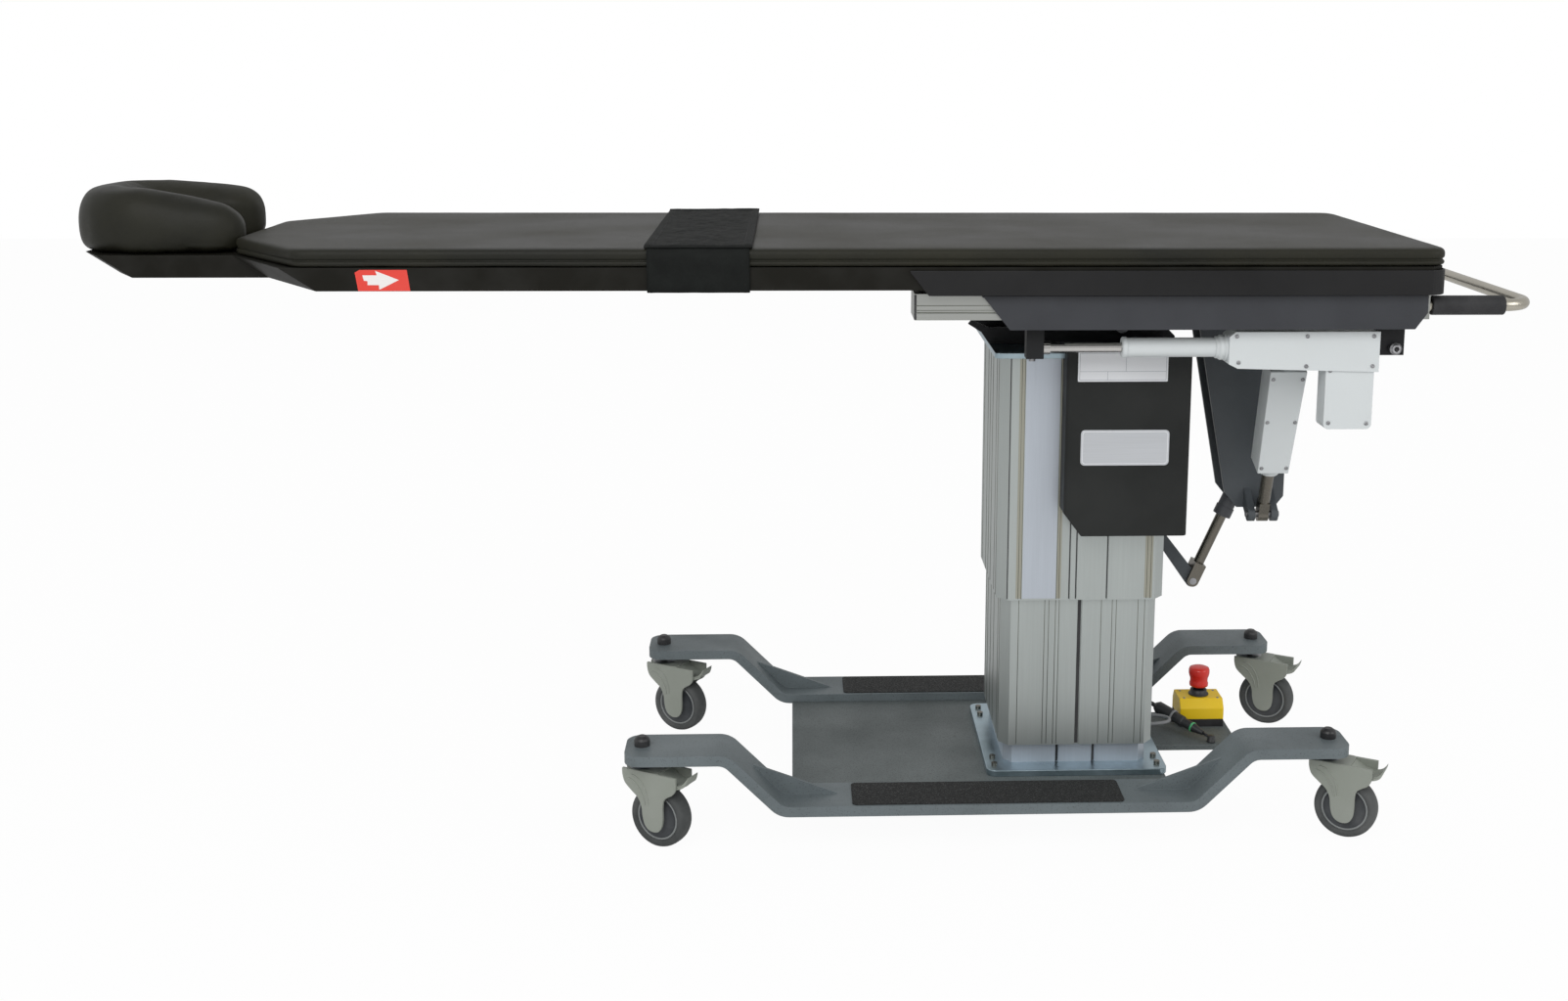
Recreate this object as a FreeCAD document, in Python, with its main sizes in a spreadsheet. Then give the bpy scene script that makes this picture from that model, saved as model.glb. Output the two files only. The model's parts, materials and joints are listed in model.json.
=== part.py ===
import FreeCAD, Part
import math
import os
import Sketcher
from FreeCAD import Placement, Rotation, Vector

# Radiography table: a lifting column on a castered base carries a tilting, rolling and sliding top.
# Millimetres. +X is the foot end, -Y the near side, +Z up, and the floor is z = 0.

SIZES = {
    # fits shared by many pieces
    "running_gap": 0.05, "face_gap": 0.3, "glide_gap": 0.4,
    # base rails, bent from one bar each
    "base_x": 289.0, "rail_inner_y": 203.0, "rail_outer_y": 298.0, "rail_thick": 17.0,
    "rail_flat_top": 73.5, "rail_arm_top": 160.0, "rail_flat_half": 327.0, "rail_half": 577.0,
    "rail_bend": 23.0, "rail_end_round": 25.0,
    "gusset_y": 240.0, "gusset_thick": 6.0, "gusset_rise": 52.0, "gusset_run": 88.0,
    # deck between the rails, with its tongue under the stop button
    "deck_top": 60.0, "deck_thick": 10.0, "deck_left": -24.0, "deck_right": 598.0,
    "tongue_right": 754.0, "tongue_near": -28.0, "tongue_far": 130.0, "tongue_round": 12.0,
    # tread pads
    "tread_left": 71.0, "tread_right": 505.0, "tread_margin": 5.0, "tread_thick": 1.5, "tread_round": 8.0,
    # casters
    "caster_half_x": 551.0, "caster_y": 248.0, "caster_trail": 35.0, "caster_turn": -30.0,
    "wheel_r": 50.0, "wheel_half": 16.0, "hub_half": 19.2, "hub_r": 12.0, "axle_r": 5.0,
    "kingpin_r": 6.0, "kingpin_cap_r": 12.5, "kingpin_cap": 16.0, "kingpin_reach": 26.0,
    "swivel_r": 24.0, "crown_top": 128.0, "crown_thick": 12.0,
    "leg_outer": 24.0, "leg_thick": 4.5, "leg_end_r": 15.0,
    "pedal_x": 52.0, "pedal_z": 108.0, "pedal_pin_r": 3.0, "pedal_half": 19.0,
    # column foot
    "column_x": 451.0, "flange_half_x": 151.0, "flange_half_y": 156.0, "flange_thick": 10.5,
    "flange_round": 15.0, "screw_r": 5.0, "screw_head": 5.0, "screw_x": 137.0,
    "screw_far_y": 132.0, "screw_near_y": 100.0, "lip_bolt_x": 90.0,
    # telescopic column, three nested profiles
    "outer_half_x": 138.0, "outer_half_y": 140.0, "stage_step_x": 9.0, "stage_step_y": 10.0,
    "profile_wall": 4.5, "corner_x": 17.0, "corner_y": 20.0, "corner_step": 2.0, "glide_wide": 16.0, "glide_inset": 34.0,
    "outer_bottom": 360.0, "outer_top": 765.0, "middle_bottom": 105.0, "middle_top": 555.0,
    "inner_top": 500.0, "groove_deep": 1.5, "slot_deep": 3.0, "inner_slot_x": 30.5,
    "inner_slot_wide": 6.0, "middle_slot_wide": 8.0, "groove_wide": 3.0, "groove_edge": 16.0,
    "groove_left": 20.0, "groove_pair": 11.0, "groove_right": 42.0,
    # plate and head on the column
    "plate_half_x": 150.0, "plate_half_y": 155.0, "plate_thick": 9.0, "plate_round": 8.0,
    "head_left": 301.0, "head_right": 608.0, "head_floor": 8.0, "head_inner_y": 50.0,
    "head_wall": 10.0, "head_top": 800.0, "ear_r": 22.0,
    # tilt pivot
    "tilt_x": 520.0, "tilt_z": 802.0, "tilt_pin_r": 8.0, "tilt_hub_r": 17.0, "pin_head": 4.0,
    # control box
    "box_left": 412.0, "box_right": 612.0, "box_front": -185.0, "box_bottom": 480.0,
    "box_top": 785.0, "box_cut": 38.0, "box_round": 8.0,
    "label_thick": 1.0, "rating_left": 429.0, "rating_right": 572.0, "rating_bottom": 733.0,
    "rating_top": 781.0, "name_left": 436.0, "name_right": 578.0, "name_bottom": 597.0, "name_top": 655.0,
    # tilt ram, from the column arm up to the V bracket
    "ram_low_x": 664.0, "ram_low_z": 353.0, "ram_high_x": 804.3, "ram_high_z": 676.3,
    "ram_pin_r": 6.0, "ram_lug_r": 12.0, "ram_blade": 12.0, "ram_cheek": 6.0,
    "ram_rod_r": 9.0, "ram_tube_r": 14.0, "ram_tube_from": 123.0, "ram_bore": 185.0, "ram_rod_to": 213.0,
    "ram_bridge": 21.0, "ram_arm_thick": 6.0, "ram_arm_tall": 100.0, "ram_arm_drop": 1.36,
    "ram_slip_across": 8.2, "ram_slip_along": 0.7, "ram_head_half": 20.0,
    # tilt frame
    "spine_left": 340.0, "spine_right": 860.0, "spine_half": 40.0, "spine_bottom": 815.0,
    "spine_top": 838.0, "lug_half": 16.0, "lug_thick": 18.0, "lug_top": 876.0, "right_lug_x": 806.0,
    "v_inner": 27.0, "v_thick": 8.0, "v_left": 650.0, "v_shoulder": 24.0, "v_waist_x": 708.0,
    "v_waist_up": 30.0, "v_toe_left": 729.0, "v_toe_right": 794.0, "v_toe_up": 4.0, "v_nose_x": 808.5,
    "v_nose_low": 23.0, "v_nose_high": 71.0, "v_hip_x": 834.5, "v_hip_drop": 90.0, "v_right": 850.0,
    # roll shaft and roll frame
    "roll_z": 860.0, "shaft_r": 10.0, "beam_left_x": 380.0, "beam_right_x": 765.0, "beam_half": 18.0,
    "beam_bottom": 852.0, "beam_top": 878.0, "frame_half_y": 165.0, "member_wide": 35.0,
    "block_half": 25.0, "block_bottom": 849.0, "block_top": 883.0,
    "tongue_deep": 11.0, "tee_low": 861.0, "tee_high": 871.0, "tee_deep": 12.0,
    # roll ram, from the V bracket up to the roll frame
    "roll_low_y": -65.0, "roll_low_z": 484.0, "roll_high_y": -178.5, "roll_high_z": 794.6,
    "roll_pin_r": 5.0, "roll_eye_r": 12.0, "roll_eye_half": 8.5, "roll_rod_r": 10.0,
    "roll_ear_inner": 13.5, "roll_ear_outer": 25.0, "roll_house_from": 85.0, "roll_house_to": 290.0,
    "roll_house_low": 25.5, "roll_house_high": 29.5, "roll_house_deep": 25.0, "roll_bore": 120.0,
    "roll_rod_to": 150.0, "roll_slip_across": 6.8, "roll_cheek_inner": 9.5, "roll_cheek_thick": 6.0,
    # side rails
    "side_inner": 201.0, "side_outer": 282.0, "side_bottom": 846.0, "side_top": 886.0,
    "side_left": 167.0, "side_right": 950.0, "chamber_wall": 4.0, "cap_thick": 4.0,
    # side covers
    "cover_inner": 289.0, "cover_thick": 3.0, "cover_left": 265.0, "cover_right": 944.0,
    "cover_bottom": 832.0, "cover_top": 884.0,
    # steel sub-frame and pan
    "tray_left": 155.0, "tray_right": 970.0, "tray_half": 306.0, "tray_sheet": 3.0, "tray_top": 924.0,
    "tray_rib": 5.0, "tray_round": 30.0,
    "pan_inset": 4.0, "pan_top": 929.0, "pan_right": 966.0, "pan_taper": -776.0, "pan_neck": -890.0,
    "pan_head_half": 140.0, "pan_tip": -1138.0, "pan_tip_half": 80.0, "pan_slope": 54.0,
    "pan_corner": 22.0, "pan_tip_cut": 38.0,
    # soft parts
    "soft_gap": 0.3, "mattress_top": 957.0, "mattress_inset": 1.0, "mattress_right": 970.0,
    "mattress_taper": -755.0, "mattress_head": -888.0, "mattress_head_half": 130.0, "mattress_round": 30.0,
    "cushion_left": -1137.0, "cushion_right": -893.0, "cushion_half": 140.0, "cushion_gap_half": 42.0,
    "cushion_top": 1038.0, "cushion_round": 28.0, "cushion_crown": 110.0,
    "strap_left": -239.0, "strap_right": -81.0, "strap_thick": 3.0,
    # handle
    "handle_r": 9.5, "handle_y": 270.0, "handle_z": 866.0, "handle_bend": 50.0, "handle_x": 1115.5,
    "handle_plug": 45.0, "grip_r": 15.0, "grip_left": 955.0, "grip_right": 1068.0,
    # slide actuator under the near rail
    "slide_y": -252.0, "slide_z": 799.0, "slide_rod_r": 7.75, "slide_tube_r": 15.0,
    "slide_block_left": 336.0, "slide_block_right": 363.0, "slide_block_half": 12.0,
    "slide_block_high": 16.0, "hanger_bottom": 830.0, "hanger_top": 844.0, "hanger_right": 400.0,
    "hanger_inner_y": 170.0, "slide_tube_left": 485.0, "slide_tube_right": 646.0,
    "slide_rod_right": 615.0, "slide_bore_right": 740.0,
    "house_right": 879.0, "house_top": 826.0, "house_bottom": 769.0, "house_half": 23.0,
    "motor_left": 798.0, "motor_right": 873.0, "motor_bottom": 673.0, "motor_round": 8.0,
    "clevis_x": 897.4, "clevis_right": 919.0, "clevis_bolt_r": 5.0, "clevis_eye_half": 9.0,
    "clevis_cheek": 5.0, "clevis_flange": 5.0, "case_low": 23.0, "case_high": 19.0, "case_nose": 14.0,
    # emergency stop on the tongue
    "stop_x": 707.0, "stop_y": 90.0, "stop_half_x": 39.0, "stop_half_y": 34.0, "stop_base": 13.6,
    "stop_cover_top": 109.0, "stop_slope": 15.0, "stop_collar_r": 14.5, "stop_collar_top": 119.0,
    "stop_stem_r": 9.0, "stop_button_r": 18.5, "stop_button_low": 124.5, "stop_button_top": 161.0,
    # leads at the column foot
    "boot_x": 628.0, "boot_y": 78.0, "boot_z": 92.0, "nose_x": 696.0, "nose_y": -2.0, "nose_z": 71.0,
    "boot_straight": 18.0, "boot_turn": 20.0, "tail_long": 17.0,
    "loop_far_y": 46.0, "loop_near_y": 0.0, "loop_z": 88.0, "loop_reach": 62.0,
    "lead_r": 4.0, "tail_r": 2.5, "loop_r": 3.0, "gland_r": 6.5, "gland_long": 8.0, "connector_r": 9.5,
}

DOC = FreeCAD.newDocument("RadiographyTable")
SHEET = DOC.addObject("Spreadsheet::Sheet", "Sizes")
for row, (alias, number) in enumerate(SIZES.items(), 1):
    SHEET.set(f"A{row}", alias)
    SHEET.set(f"B{row}", str(number))
    SHEET.setAlias(f"B{row}", alias)
DOC.recompute()

TINY = 0.01
PARTS = []


class Size:
    """A length that knows its value and the spreadsheet expression that gives it."""

    def __init__(self, value, text, bound=True):
        self.value = value
        self.text = text
        self.bound = bound

    @staticmethod
    def of(item):
        if isinstance(item, Size):
            return item
        return Size(float(item), f"({float(item)})", False)

    def combine(self, other, sign, value):
        return Size(value, f"({self.text} {sign} {other.text})", self.bound or other.bound)

    def __add__(self, other):
        other = Size.of(other)
        return self.combine(other, "+", self.value + other.value)

    def __sub__(self, other):
        other = Size.of(other)
        return self.combine(other, "-", self.value - other.value)

    def __mul__(self, other):
        other = Size.of(other)
        return self.combine(other, "*", self.value * other.value)

    def __truediv__(self, other):
        other = Size.of(other)
        return self.combine(other, "/", self.value / other.value)

    def __radd__(self, other):
        return Size.of(other) + self

    def __rsub__(self, other):
        return Size.of(other) - self

    def __rmul__(self, other):
        return Size.of(other) * self

    def __neg__(self):
        return Size.of(-1) * self

    def __lt__(self, other):
        return self.value < Size.of(other).value


class Dimensions:
    """Reads a named size of the sheet: D.rail_thick."""

    def __getattr__(self, name):
        return Size(SIZES[name], f"Sizes.{name}")


D = Dimensions()


# ---------------------------------------------------------------- drawing helpers

def bind(item, field, size):
    item.setExpression(field, Size.of(size).text)


def place(item, x=0, y=0, z=0, rotation=None):
    spot = [Size.of(value) for value in (x, y, z)]
    item.Placement = Placement(Vector(*[size.value for size in spot]), rotation or Rotation())
    for axis, size in zip("xyz", spot):
        if size.bound:
            item.setExpression("Placement.Base." + axis, size.text)


def keep(item, label):
    """Register a finished sub-part under the name of its node."""
    item.Label = label
    PARTS.append(item)
    return item


def new_body(name):
    return DOC.addObject("PartDesign::Body", name)


def circle(x, y, radius):
    return ("circle", Size.of(x), Size.of(y), Size.of(radius))


def box(left, low, right, high):
    return [(left, low), (right, low), (right, high), (left, high)]


def span(side, near, far):
    """Two distances from the middle plane, as a low and a high limit on one side of it."""
    return tuple(sorted([side * near, side * far]))


def pin_point(sketch, index, end, x, y):
    for kind, size in (("DistanceX", x), ("DistanceY", y)):
        number = sketch.addConstraint(Sketcher.Constraint(kind, -1, 1, index, end, size.value))
        if size.bound:
            sketch.setExpression(f"Constraints[{number}]", size.text)


def add_loop(sketch, loop):
    first = sketch.GeometryCount
    if loop[0] == "circle":
        x, y, radius = loop[1:]
        sketch.addGeometry(Part.Circle(Vector(x.value, y.value, 0), Vector(0, 0, 1), radius.value))
        pin_point(sketch, first, 3, x, y)
        number = sketch.addConstraint(Sketcher.Constraint("Radius", first, radius.value))
        sketch.setExpression(f"Constraints[{number}]", radius.text)
        return
    points = [(Size.of(x), Size.of(y)) for x, y in loop]
    vectors = [Vector(x.value, y.value, 0) for x, y in points]
    for start, stop in zip(vectors, vectors[1:] + vectors[:1]):
        sketch.addGeometry(Part.LineSegment(start, stop))
    for step, (x, y) in enumerate(points):
        following = first + (step + 1) % len(points)
        sketch.addConstraint(Sketcher.Constraint("Coincident", first + step, 2, following, 1))
        pin_point(sketch, first + step, 1, x, y)


def draw(body, name, plane, loops, offset):
    sketch = body.newObject("Sketcher::SketchObject", name)
    support = [item for item in body.Origin.OriginFeatures if item.Role == plane + "_Plane"][0]
    sketch.AttachmentSupport = (support, [""])
    sketch.MapMode = "FlatFace"
    offset = Size.of(offset)
    sketch.AttachmentOffset = Placement(Vector(0, 0, offset.value), Rotation())
    if offset.bound:
        sketch.setExpression("AttachmentOffset.Base.z", offset.text)
    for loop in loops:
        add_loop(sketch, loop)
    return sketch


def pad(body, name, plane, loops, low, high):
    """Extrude loops from low to high along the axis across the plane."""
    low = Size.of(low)
    high = Size.of(high)
    feature_sketch = draw(body, name + "_sketch", plane, loops, -high if plane == "XZ" else low)
    feature = body.newObject("PartDesign::Pad", name)
    feature.Profile = feature_sketch
    bind(feature, "Length", high - low)
    return feature


def pocket(body, name, plane, loops, low, high):
    """Cut loops away from low to high along the axis across the plane."""
    low = Size.of(low)
    high = Size.of(high)
    feature_sketch = draw(body, name + "_sketch", plane, loops, -low if plane == "XZ" else high)
    feature = body.newObject("PartDesign::Pocket", name)
    feature.Profile = feature_sketch
    bind(feature, "Length", high - low)
    return feature


def revolve(body, name, points):
    """Turn an outline of (radius, height) points about the body's own Z axis."""
    feature_sketch = draw(body, name + "_sketch", "XZ", [points], 0)
    feature = body.newObject("PartDesign::Revolution", name)
    feature.Profile = feature_sketch
    feature.ReferenceAxis = (feature_sketch, ["V_Axis"])
    feature.Angle = 360
    return feature


def loft(body, name, plane, low_loop, low, high_loop, high):
    bottom = draw(body, name + "_low", plane, [low_loop], low)
    top = draw(body, name + "_high", plane, [high_loop], high)
    feature = body.newObject("PartDesign::AdditiveLoft", name)
    feature.Profile = bottom
    feature.Sections = [top]
    feature.Ruled = True
    return feature


def round_edges(body, name, radius, along, spots):
    """Fillet the straight edges along an axis whose other two coordinates are among the spots."""
    DOC.recompute()
    axis = "xyz".index(along)
    others = [index for index in range(3) if index != axis]
    wanted = [(Size.of(a).value, Size.of(b).value) for a, b in spots]
    names = []
    for number, edge in enumerate(body.Tip.Shape.Edges, 1):
        ends = [vertex.Point for vertex in edge.Vertexes]
        if len(ends) != 2 or edge.Curve.TypeId != "Part::GeomLine":
            continue
        drift = [abs(ends[1][index] - ends[0][index]) for index in others]
        if max(drift) > TINY:
            continue
        for a, b in wanted:
            if abs(ends[0][others[0]] - a) < TINY and abs(ends[0][others[1]] - b) < TINY:
                names.append(f"Edge{number}")
    feature = body.newObject("PartDesign::Fillet", name)
    feature.Base = (feature.BaseFeature or body.Tip, names)
    bind(feature, "Radius", radius)
    return feature


def cylinder(name, radius, length, x, y, z, axis=Vector(0, 0, 1)):
    """A Part cylinder that starts at a point and runs along an axis."""
    item = DOC.addObject("Part::Cylinder", name)
    bind(item, "Radius", radius)
    bind(item, "Height", length)
    place(item, x, y, z, Rotation(Vector(0, 0, 1), axis))
    return item


def group(label, pieces):
    item = DOC.addObject("Part::Compound", label)
    item.Links = pieces
    return keep(item, label)


ALONG_X = Vector(1, 0, 0)
ALONG_Y = Vector(0, 1, 0)


# ---------------------------------------------------------------- base

def base_rail(side):
    """One bent bar: a low flat, two slopes and two raised arms, with a gusset in each corner."""
    name = "base_rail_near" if side < 0 else "base_rail_far"
    body = new_body(name)
    low, high = span(side, D.rail_inner_y, D.rail_outer_y)
    shift = D.rail_thick * math.tan(math.radians(22.5))
    arm = D.rail_flat_half + D.rail_arm_top - D.rail_flat_top
    arm_low = D.rail_arm_top - D.rail_thick
    flat_low = D.rail_flat_top - D.rail_thick
    upper = [(D.rail_half, D.rail_arm_top), (arm, D.rail_arm_top), (D.rail_flat_half, D.rail_flat_top)]
    lower = [(D.rail_flat_half + shift, flat_low), (arm + shift, arm_low), (D.rail_half, arm_low)]
    outline = [(D.base_x - x, z) for x, z in upper]
    outline += [(D.base_x + x, z) for x, z in reversed(upper)]
    outline += [(D.base_x + x, z) for x, z in reversed(lower)]
    outline += [(D.base_x - x, z) for x, z in lower]
    pad(body, name + "_bar", "XZ", [outline], low, high)
    for end in (-1, 1):
        outer = [(D.base_x + end * arm, D.rail_arm_top), (D.base_x + end * (D.rail_flat_half + shift), flat_low)]
        round_edges(body, f"{name}_outer_bend_{end + 1}", D.rail_bend + D.rail_thick, "y", outer)
        inner = [(D.base_x + end * (arm + shift), arm_low), (D.base_x + end * D.rail_flat_half, D.rail_flat_top)]
        round_edges(body, f"{name}_inner_bend_{end + 1}", D.rail_bend, "y", inner)
    tips = [(D.base_x + end * D.rail_half, y) for end in (-1, 1) for y in (low, high)]
    round_edges(body, name + "_tips", D.rail_end_round, "z", tips)
    plate_low, plate_high = span(side, D.gusset_y, D.gusset_y + D.gusset_thick)
    sink = D.gusset_thick / 4
    for end in (-1, 1):
        corner = D.base_x + end * D.rail_flat_half
        foot = corner - end * D.gusset_run
        gusset = [(corner + end * D.gusset_rise, D.rail_flat_top + D.gusset_rise), (foot, D.rail_flat_top),
                  (foot, D.rail_flat_top - sink), (corner + end * sink, D.rail_flat_top - sink),
                  (corner + end * (D.gusset_rise + sink), D.rail_flat_top + D.gusset_rise - sink)]
        pad(body, f"{name}_gusset_{end + 1}", "XZ", [gusset], plate_low, plate_high)
    holes = [circle(D.base_x + end * D.caster_half_x, side * D.caster_y, D.kingpin_r + D.running_gap)
             for end in (-1, 1)]
    pocket(body, name + "_holes", "XY", holes, arm_low, D.rail_arm_top)
    return body


def base_deck():
    body = new_body("base_deck")
    outline = [(D.deck_left, -D.rail_inner_y), (D.deck_right, -D.rail_inner_y),
               (D.deck_right, D.tongue_near), (D.tongue_right, D.tongue_near),
               (D.tongue_right, D.tongue_far), (D.deck_right, D.tongue_far),
               (D.deck_right, D.rail_inner_y), (D.deck_left, D.rail_inner_y)]
    pad(body, "deck_sheet", "XY", [outline], D.deck_top - D.deck_thick, D.deck_top)
    corners = [(D.tongue_right, D.tongue_near), (D.tongue_right, D.tongue_far)]
    round_edges(body, "deck_tongue_round", D.tongue_round, "z", corners)
    keep(body, "base_deck")


def tread_pads():
    pieces = []
    for side in (-1, 1):
        body = new_body("tread_pad_near" if side < 0 else "tread_pad_far")
        low, high = span(side, D.rail_inner_y + D.tread_margin, D.rail_outer_y - D.tread_margin)
        pad(body, "tread", "XY", [box(D.tread_left, low, D.tread_right, high)],
            D.rail_flat_top, D.rail_flat_top + D.tread_thick)
        corners = [(x, y) for x in (D.tread_left, D.tread_right) for y in (low, high)]
        round_edges(body, "tread_round", D.tread_round, "z", corners)
        pieces.append(body)
    group("tread_pads", pieces)


def caster_spots():
    """Name, X and Y of each caster's swivel axis."""
    for x_name, end in (("head", -1), ("foot", 1)):
        for y_name, side in (("near", -1), ("far", 1)):
            yield f"{x_name}_{y_name}", D.base_x + end * D.caster_half_x, side * D.caster_y


def caster_bolts():
    """Kingpins with domed caps on the arm tops."""
    foot = D.rail_arm_top - D.rail_thick - D.kingpin_reach + TINY
    dome = D.rail_arm_top + D.kingpin_cap
    outline = [(0, foot), (D.kingpin_r, foot), (D.kingpin_r, D.rail_arm_top),
               (D.kingpin_cap_r, D.rail_arm_top), (D.kingpin_cap_r, dome - D.kingpin_cap_r / 2),
               (D.kingpin_cap_r * 0.86, dome - D.kingpin_cap_r / 4), (D.kingpin_cap_r / 2, dome), (0, dome)]
    pieces = []
    for spot, x, y in caster_spots():
        body = new_body("kingpin_" + spot)
        revolve(body, "pin", outline)
        place(body, x, y)
        pieces.append(body)
    group("caster_bolts", pieces)


def caster_fork(spot, x, y):
    body = new_body("fork_" + spot)
    top = D.rail_arm_top - D.rail_thick - D.face_gap
    crown_low = D.crown_top - D.crown_thick
    back = D.caster_trail + D.swivel_r + D.face_gap * 10
    pad(body, "swivel", "XY", [circle(0, 0, D.swivel_r)], crown_low, top)
    crown = [(-D.swivel_r, -D.leg_end_r), (-D.leg_end_r, -D.leg_outer), (back, -D.leg_outer),
             (back, D.leg_outer), (-D.leg_end_r, D.leg_outer), (-D.swivel_r, D.leg_end_r)]
    pad(body, "crown", "XY", [crown], crown_low, D.crown_top)
    leg = [(-D.swivel_r * 0.75, crown_low + TINY), (D.caster_trail - D.leg_end_r, D.wheel_r),
           (D.caster_trail + D.leg_end_r, D.wheel_r), (back - TINY, crown_low + TINY)]
    hub = circle(D.caster_trail, D.wheel_r, D.leg_end_r)
    for side in (-1, 1):
        low, high = span(side, D.leg_outer - D.leg_thick, D.leg_outer)
        pad(body, f"leg_{side + 1}", "XZ", [leg], low, high)
        pad(body, f"leg_end_{side + 1}", "XZ", [hub], low, high)
    axle = circle(D.caster_trail, D.wheel_r, D.axle_r)
    pad(body, "axle", "XZ", [axle], -D.leg_outer - D.screw_head, D.leg_outer + D.screw_head)
    for side in (-1, 1):
        low, high = span(side, D.leg_outer, D.leg_outer + D.screw_head)
        pad(body, f"axle_head_{side + 1}", "XZ", [circle(D.caster_trail, D.wheel_r, D.axle_r * 1.7)], low, high)
    pad(body, "pedal_pin", "XZ", [circle(D.pedal_x, D.pedal_z, D.pedal_pin_r)],
        -D.leg_outer - TINY, D.leg_outer + TINY)
    pocket(body, "kingpin_bore", "XY", [circle(0, 0, D.kingpin_r + D.running_gap)], crown_low - TINY, top)
    place(body, x, y, 0, Rotation(Vector(0, 0, 1), SIZES["caster_turn"]))
    keep(body, "caster_fork_" + spot)


def caster_wheel(spot, x, y):
    """Tyre and core turned about the axle."""
    body = new_body("wheel_" + spot)
    bore = D.axle_r + D.running_gap
    half = [(bore, D.hub_half), (D.hub_r, D.hub_half), (D.hub_r * 1.2, D.wheel_half / 2),
            (D.wheel_r * 0.7, D.wheel_half / 2), (D.wheel_r * 0.76, D.wheel_half),
            (D.wheel_r * 0.92, D.wheel_half), (D.wheel_r, D.wheel_half * 0.7)]
    revolve(body, "wheel", half + [(r, -w) for r, w in reversed(half)])
    turn = Rotation(Vector(0, 0, 1), SIZES["caster_turn"])
    axle = turn.multVec(Vector(SIZES["caster_trail"], 0, 0))
    place(body, x + axle.x, y + axle.y, D.wheel_r, turn.multiply(Rotation(Vector(0, 0, 1), ALONG_Y)))
    keep(body, "caster_wheel_" + spot)


def caster_pedal(spot, x, y):
    """Brake pedal hinged between the fork's legs, with an upturned lip."""
    body = new_body("pedal_" + spot)
    under = D.pedal_z - D.screw_r
    outline = [(D.pedal_x - 6, under), (D.pedal_x + 14, under + 1), (D.pedal_x + 34, under + 16),
               (D.pedal_x + 32, under + 21), (D.pedal_x + 12, under + 9), (D.pedal_x - 6, under + 10)]
    pad(body, "pedal_plate", "XZ", [outline], -D.pedal_half, D.pedal_half)
    pocket(body, "pedal_bore", "XZ", [circle(D.pedal_x, D.pedal_z, D.pedal_pin_r + D.running_gap)],
           -D.pedal_half, D.pedal_half)
    place(body, x, y, 0, Rotation(Vector(0, 0, 1), SIZES["caster_turn"]))
    keep(body, "caster_pedal_" + spot)


# ---------------------------------------------------------------- column

def octagon(half_x, half_y, cut_x, cut_y):
    quarter = [(half_x, half_y - cut_y), (half_x - cut_x, half_y)]
    points = quarter + [(-x, y) for x, y in reversed(quarter)]
    points += [(-x, -y) for x, y in quarter] + [(x, -y) for x, y in reversed(quarter)]
    return [(D.column_x + x, y) for x, y in points]


def column_profile(name, stage, bottom, top, grooves):
    """A hollow extrusion; stage 0 is the outer one. Its glides reach in to the next stage."""
    half_x = D.outer_half_x - stage * D.stage_step_x
    half_y = D.outer_half_y - stage * D.stage_step_y
    cut_x = D.corner_x - stage * D.corner_step
    cut_y = D.corner_y - stage * D.corner_step
    body = new_body(name)
    pad(body, name + "_wall", "XY", [octagon(half_x, half_y, cut_x, cut_y)], bottom, top)
    slim = D.profile_wall * (2 - math.sqrt(2))
    cavity = octagon(half_x - D.profile_wall, half_y - D.profile_wall, cut_x - slim, cut_y - slim)
    pocket(body, name + "_cavity", "XY", [cavity], bottom, top)
    cuts = []
    for offset, wide, deep in grooves:
        for side in (-1, 1):
            low, high = span(side, half_y - deep, half_y + 1)
            centre = D.column_x + offset
            cuts.append(box(centre - wide / 2, low, centre + wide / 2, high))
    pocket(body, name + "_grooves", "XY", cuts, bottom, top)
    if stage < 2:
        inner_x = half_x - D.stage_step_x + D.glide_gap
        inner_y = half_y - D.stage_step_y + D.glide_gap
        root_x = half_x - D.profile_wall / 2
        root_y = half_y - D.profile_wall / 2
        reach = D.glide_wide / 2
        for side in (-1, 1):
            for spread in (-1, 1):
                y = spread * (half_y - D.glide_inset)
                x = D.column_x + spread * (half_x - D.glide_inset)
                low, high = span(side, inner_x, root_x)
                pad(body, f"{name}_glide_x{side + 1}{spread + 1}", "XY",
                    [box(D.column_x + low, y - reach, D.column_x + high, y + reach)], bottom, top)
                low, high = span(side, inner_y, root_y)
                pad(body, f"{name}_glide_y{side + 1}{spread + 1}", "XY",
                    [box(x - reach, low, x + reach, high)], bottom, top)
    keep(body, name)


def column_foot():
    body = new_body("column_flange")
    flange_top = D.deck_top + D.flange_thick
    left = D.column_x - D.flange_half_x
    right = D.column_x + D.flange_half_x
    pad(body, "flange_plate", "XY", [box(left, -D.flange_half_y, right, D.flange_half_y)],
        D.deck_top, flange_top)
    corners = [(x, side * D.flange_half_y) for x in (left, right) for side in (-1, 1)]
    round_edges(body, "flange_round", D.flange_round, "z", corners)
    keep(body, "column_flange")
    screws = []
    for x in (-D.screw_x, D.screw_x):
        for y in (-D.screw_far_y, -D.screw_near_y, D.screw_near_y, D.screw_far_y):
            screws.append(cylinder("flange_screw", D.screw_r, D.screw_head, D.column_x + x, y, flange_top))
    group("flange_screws", screws)
    column_profile("column_inner", 2, flange_top, D.inner_top,
                   [(side * D.inner_slot_x, D.inner_slot_wide, D.slot_deep) for side in (-1, 1)])


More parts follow.
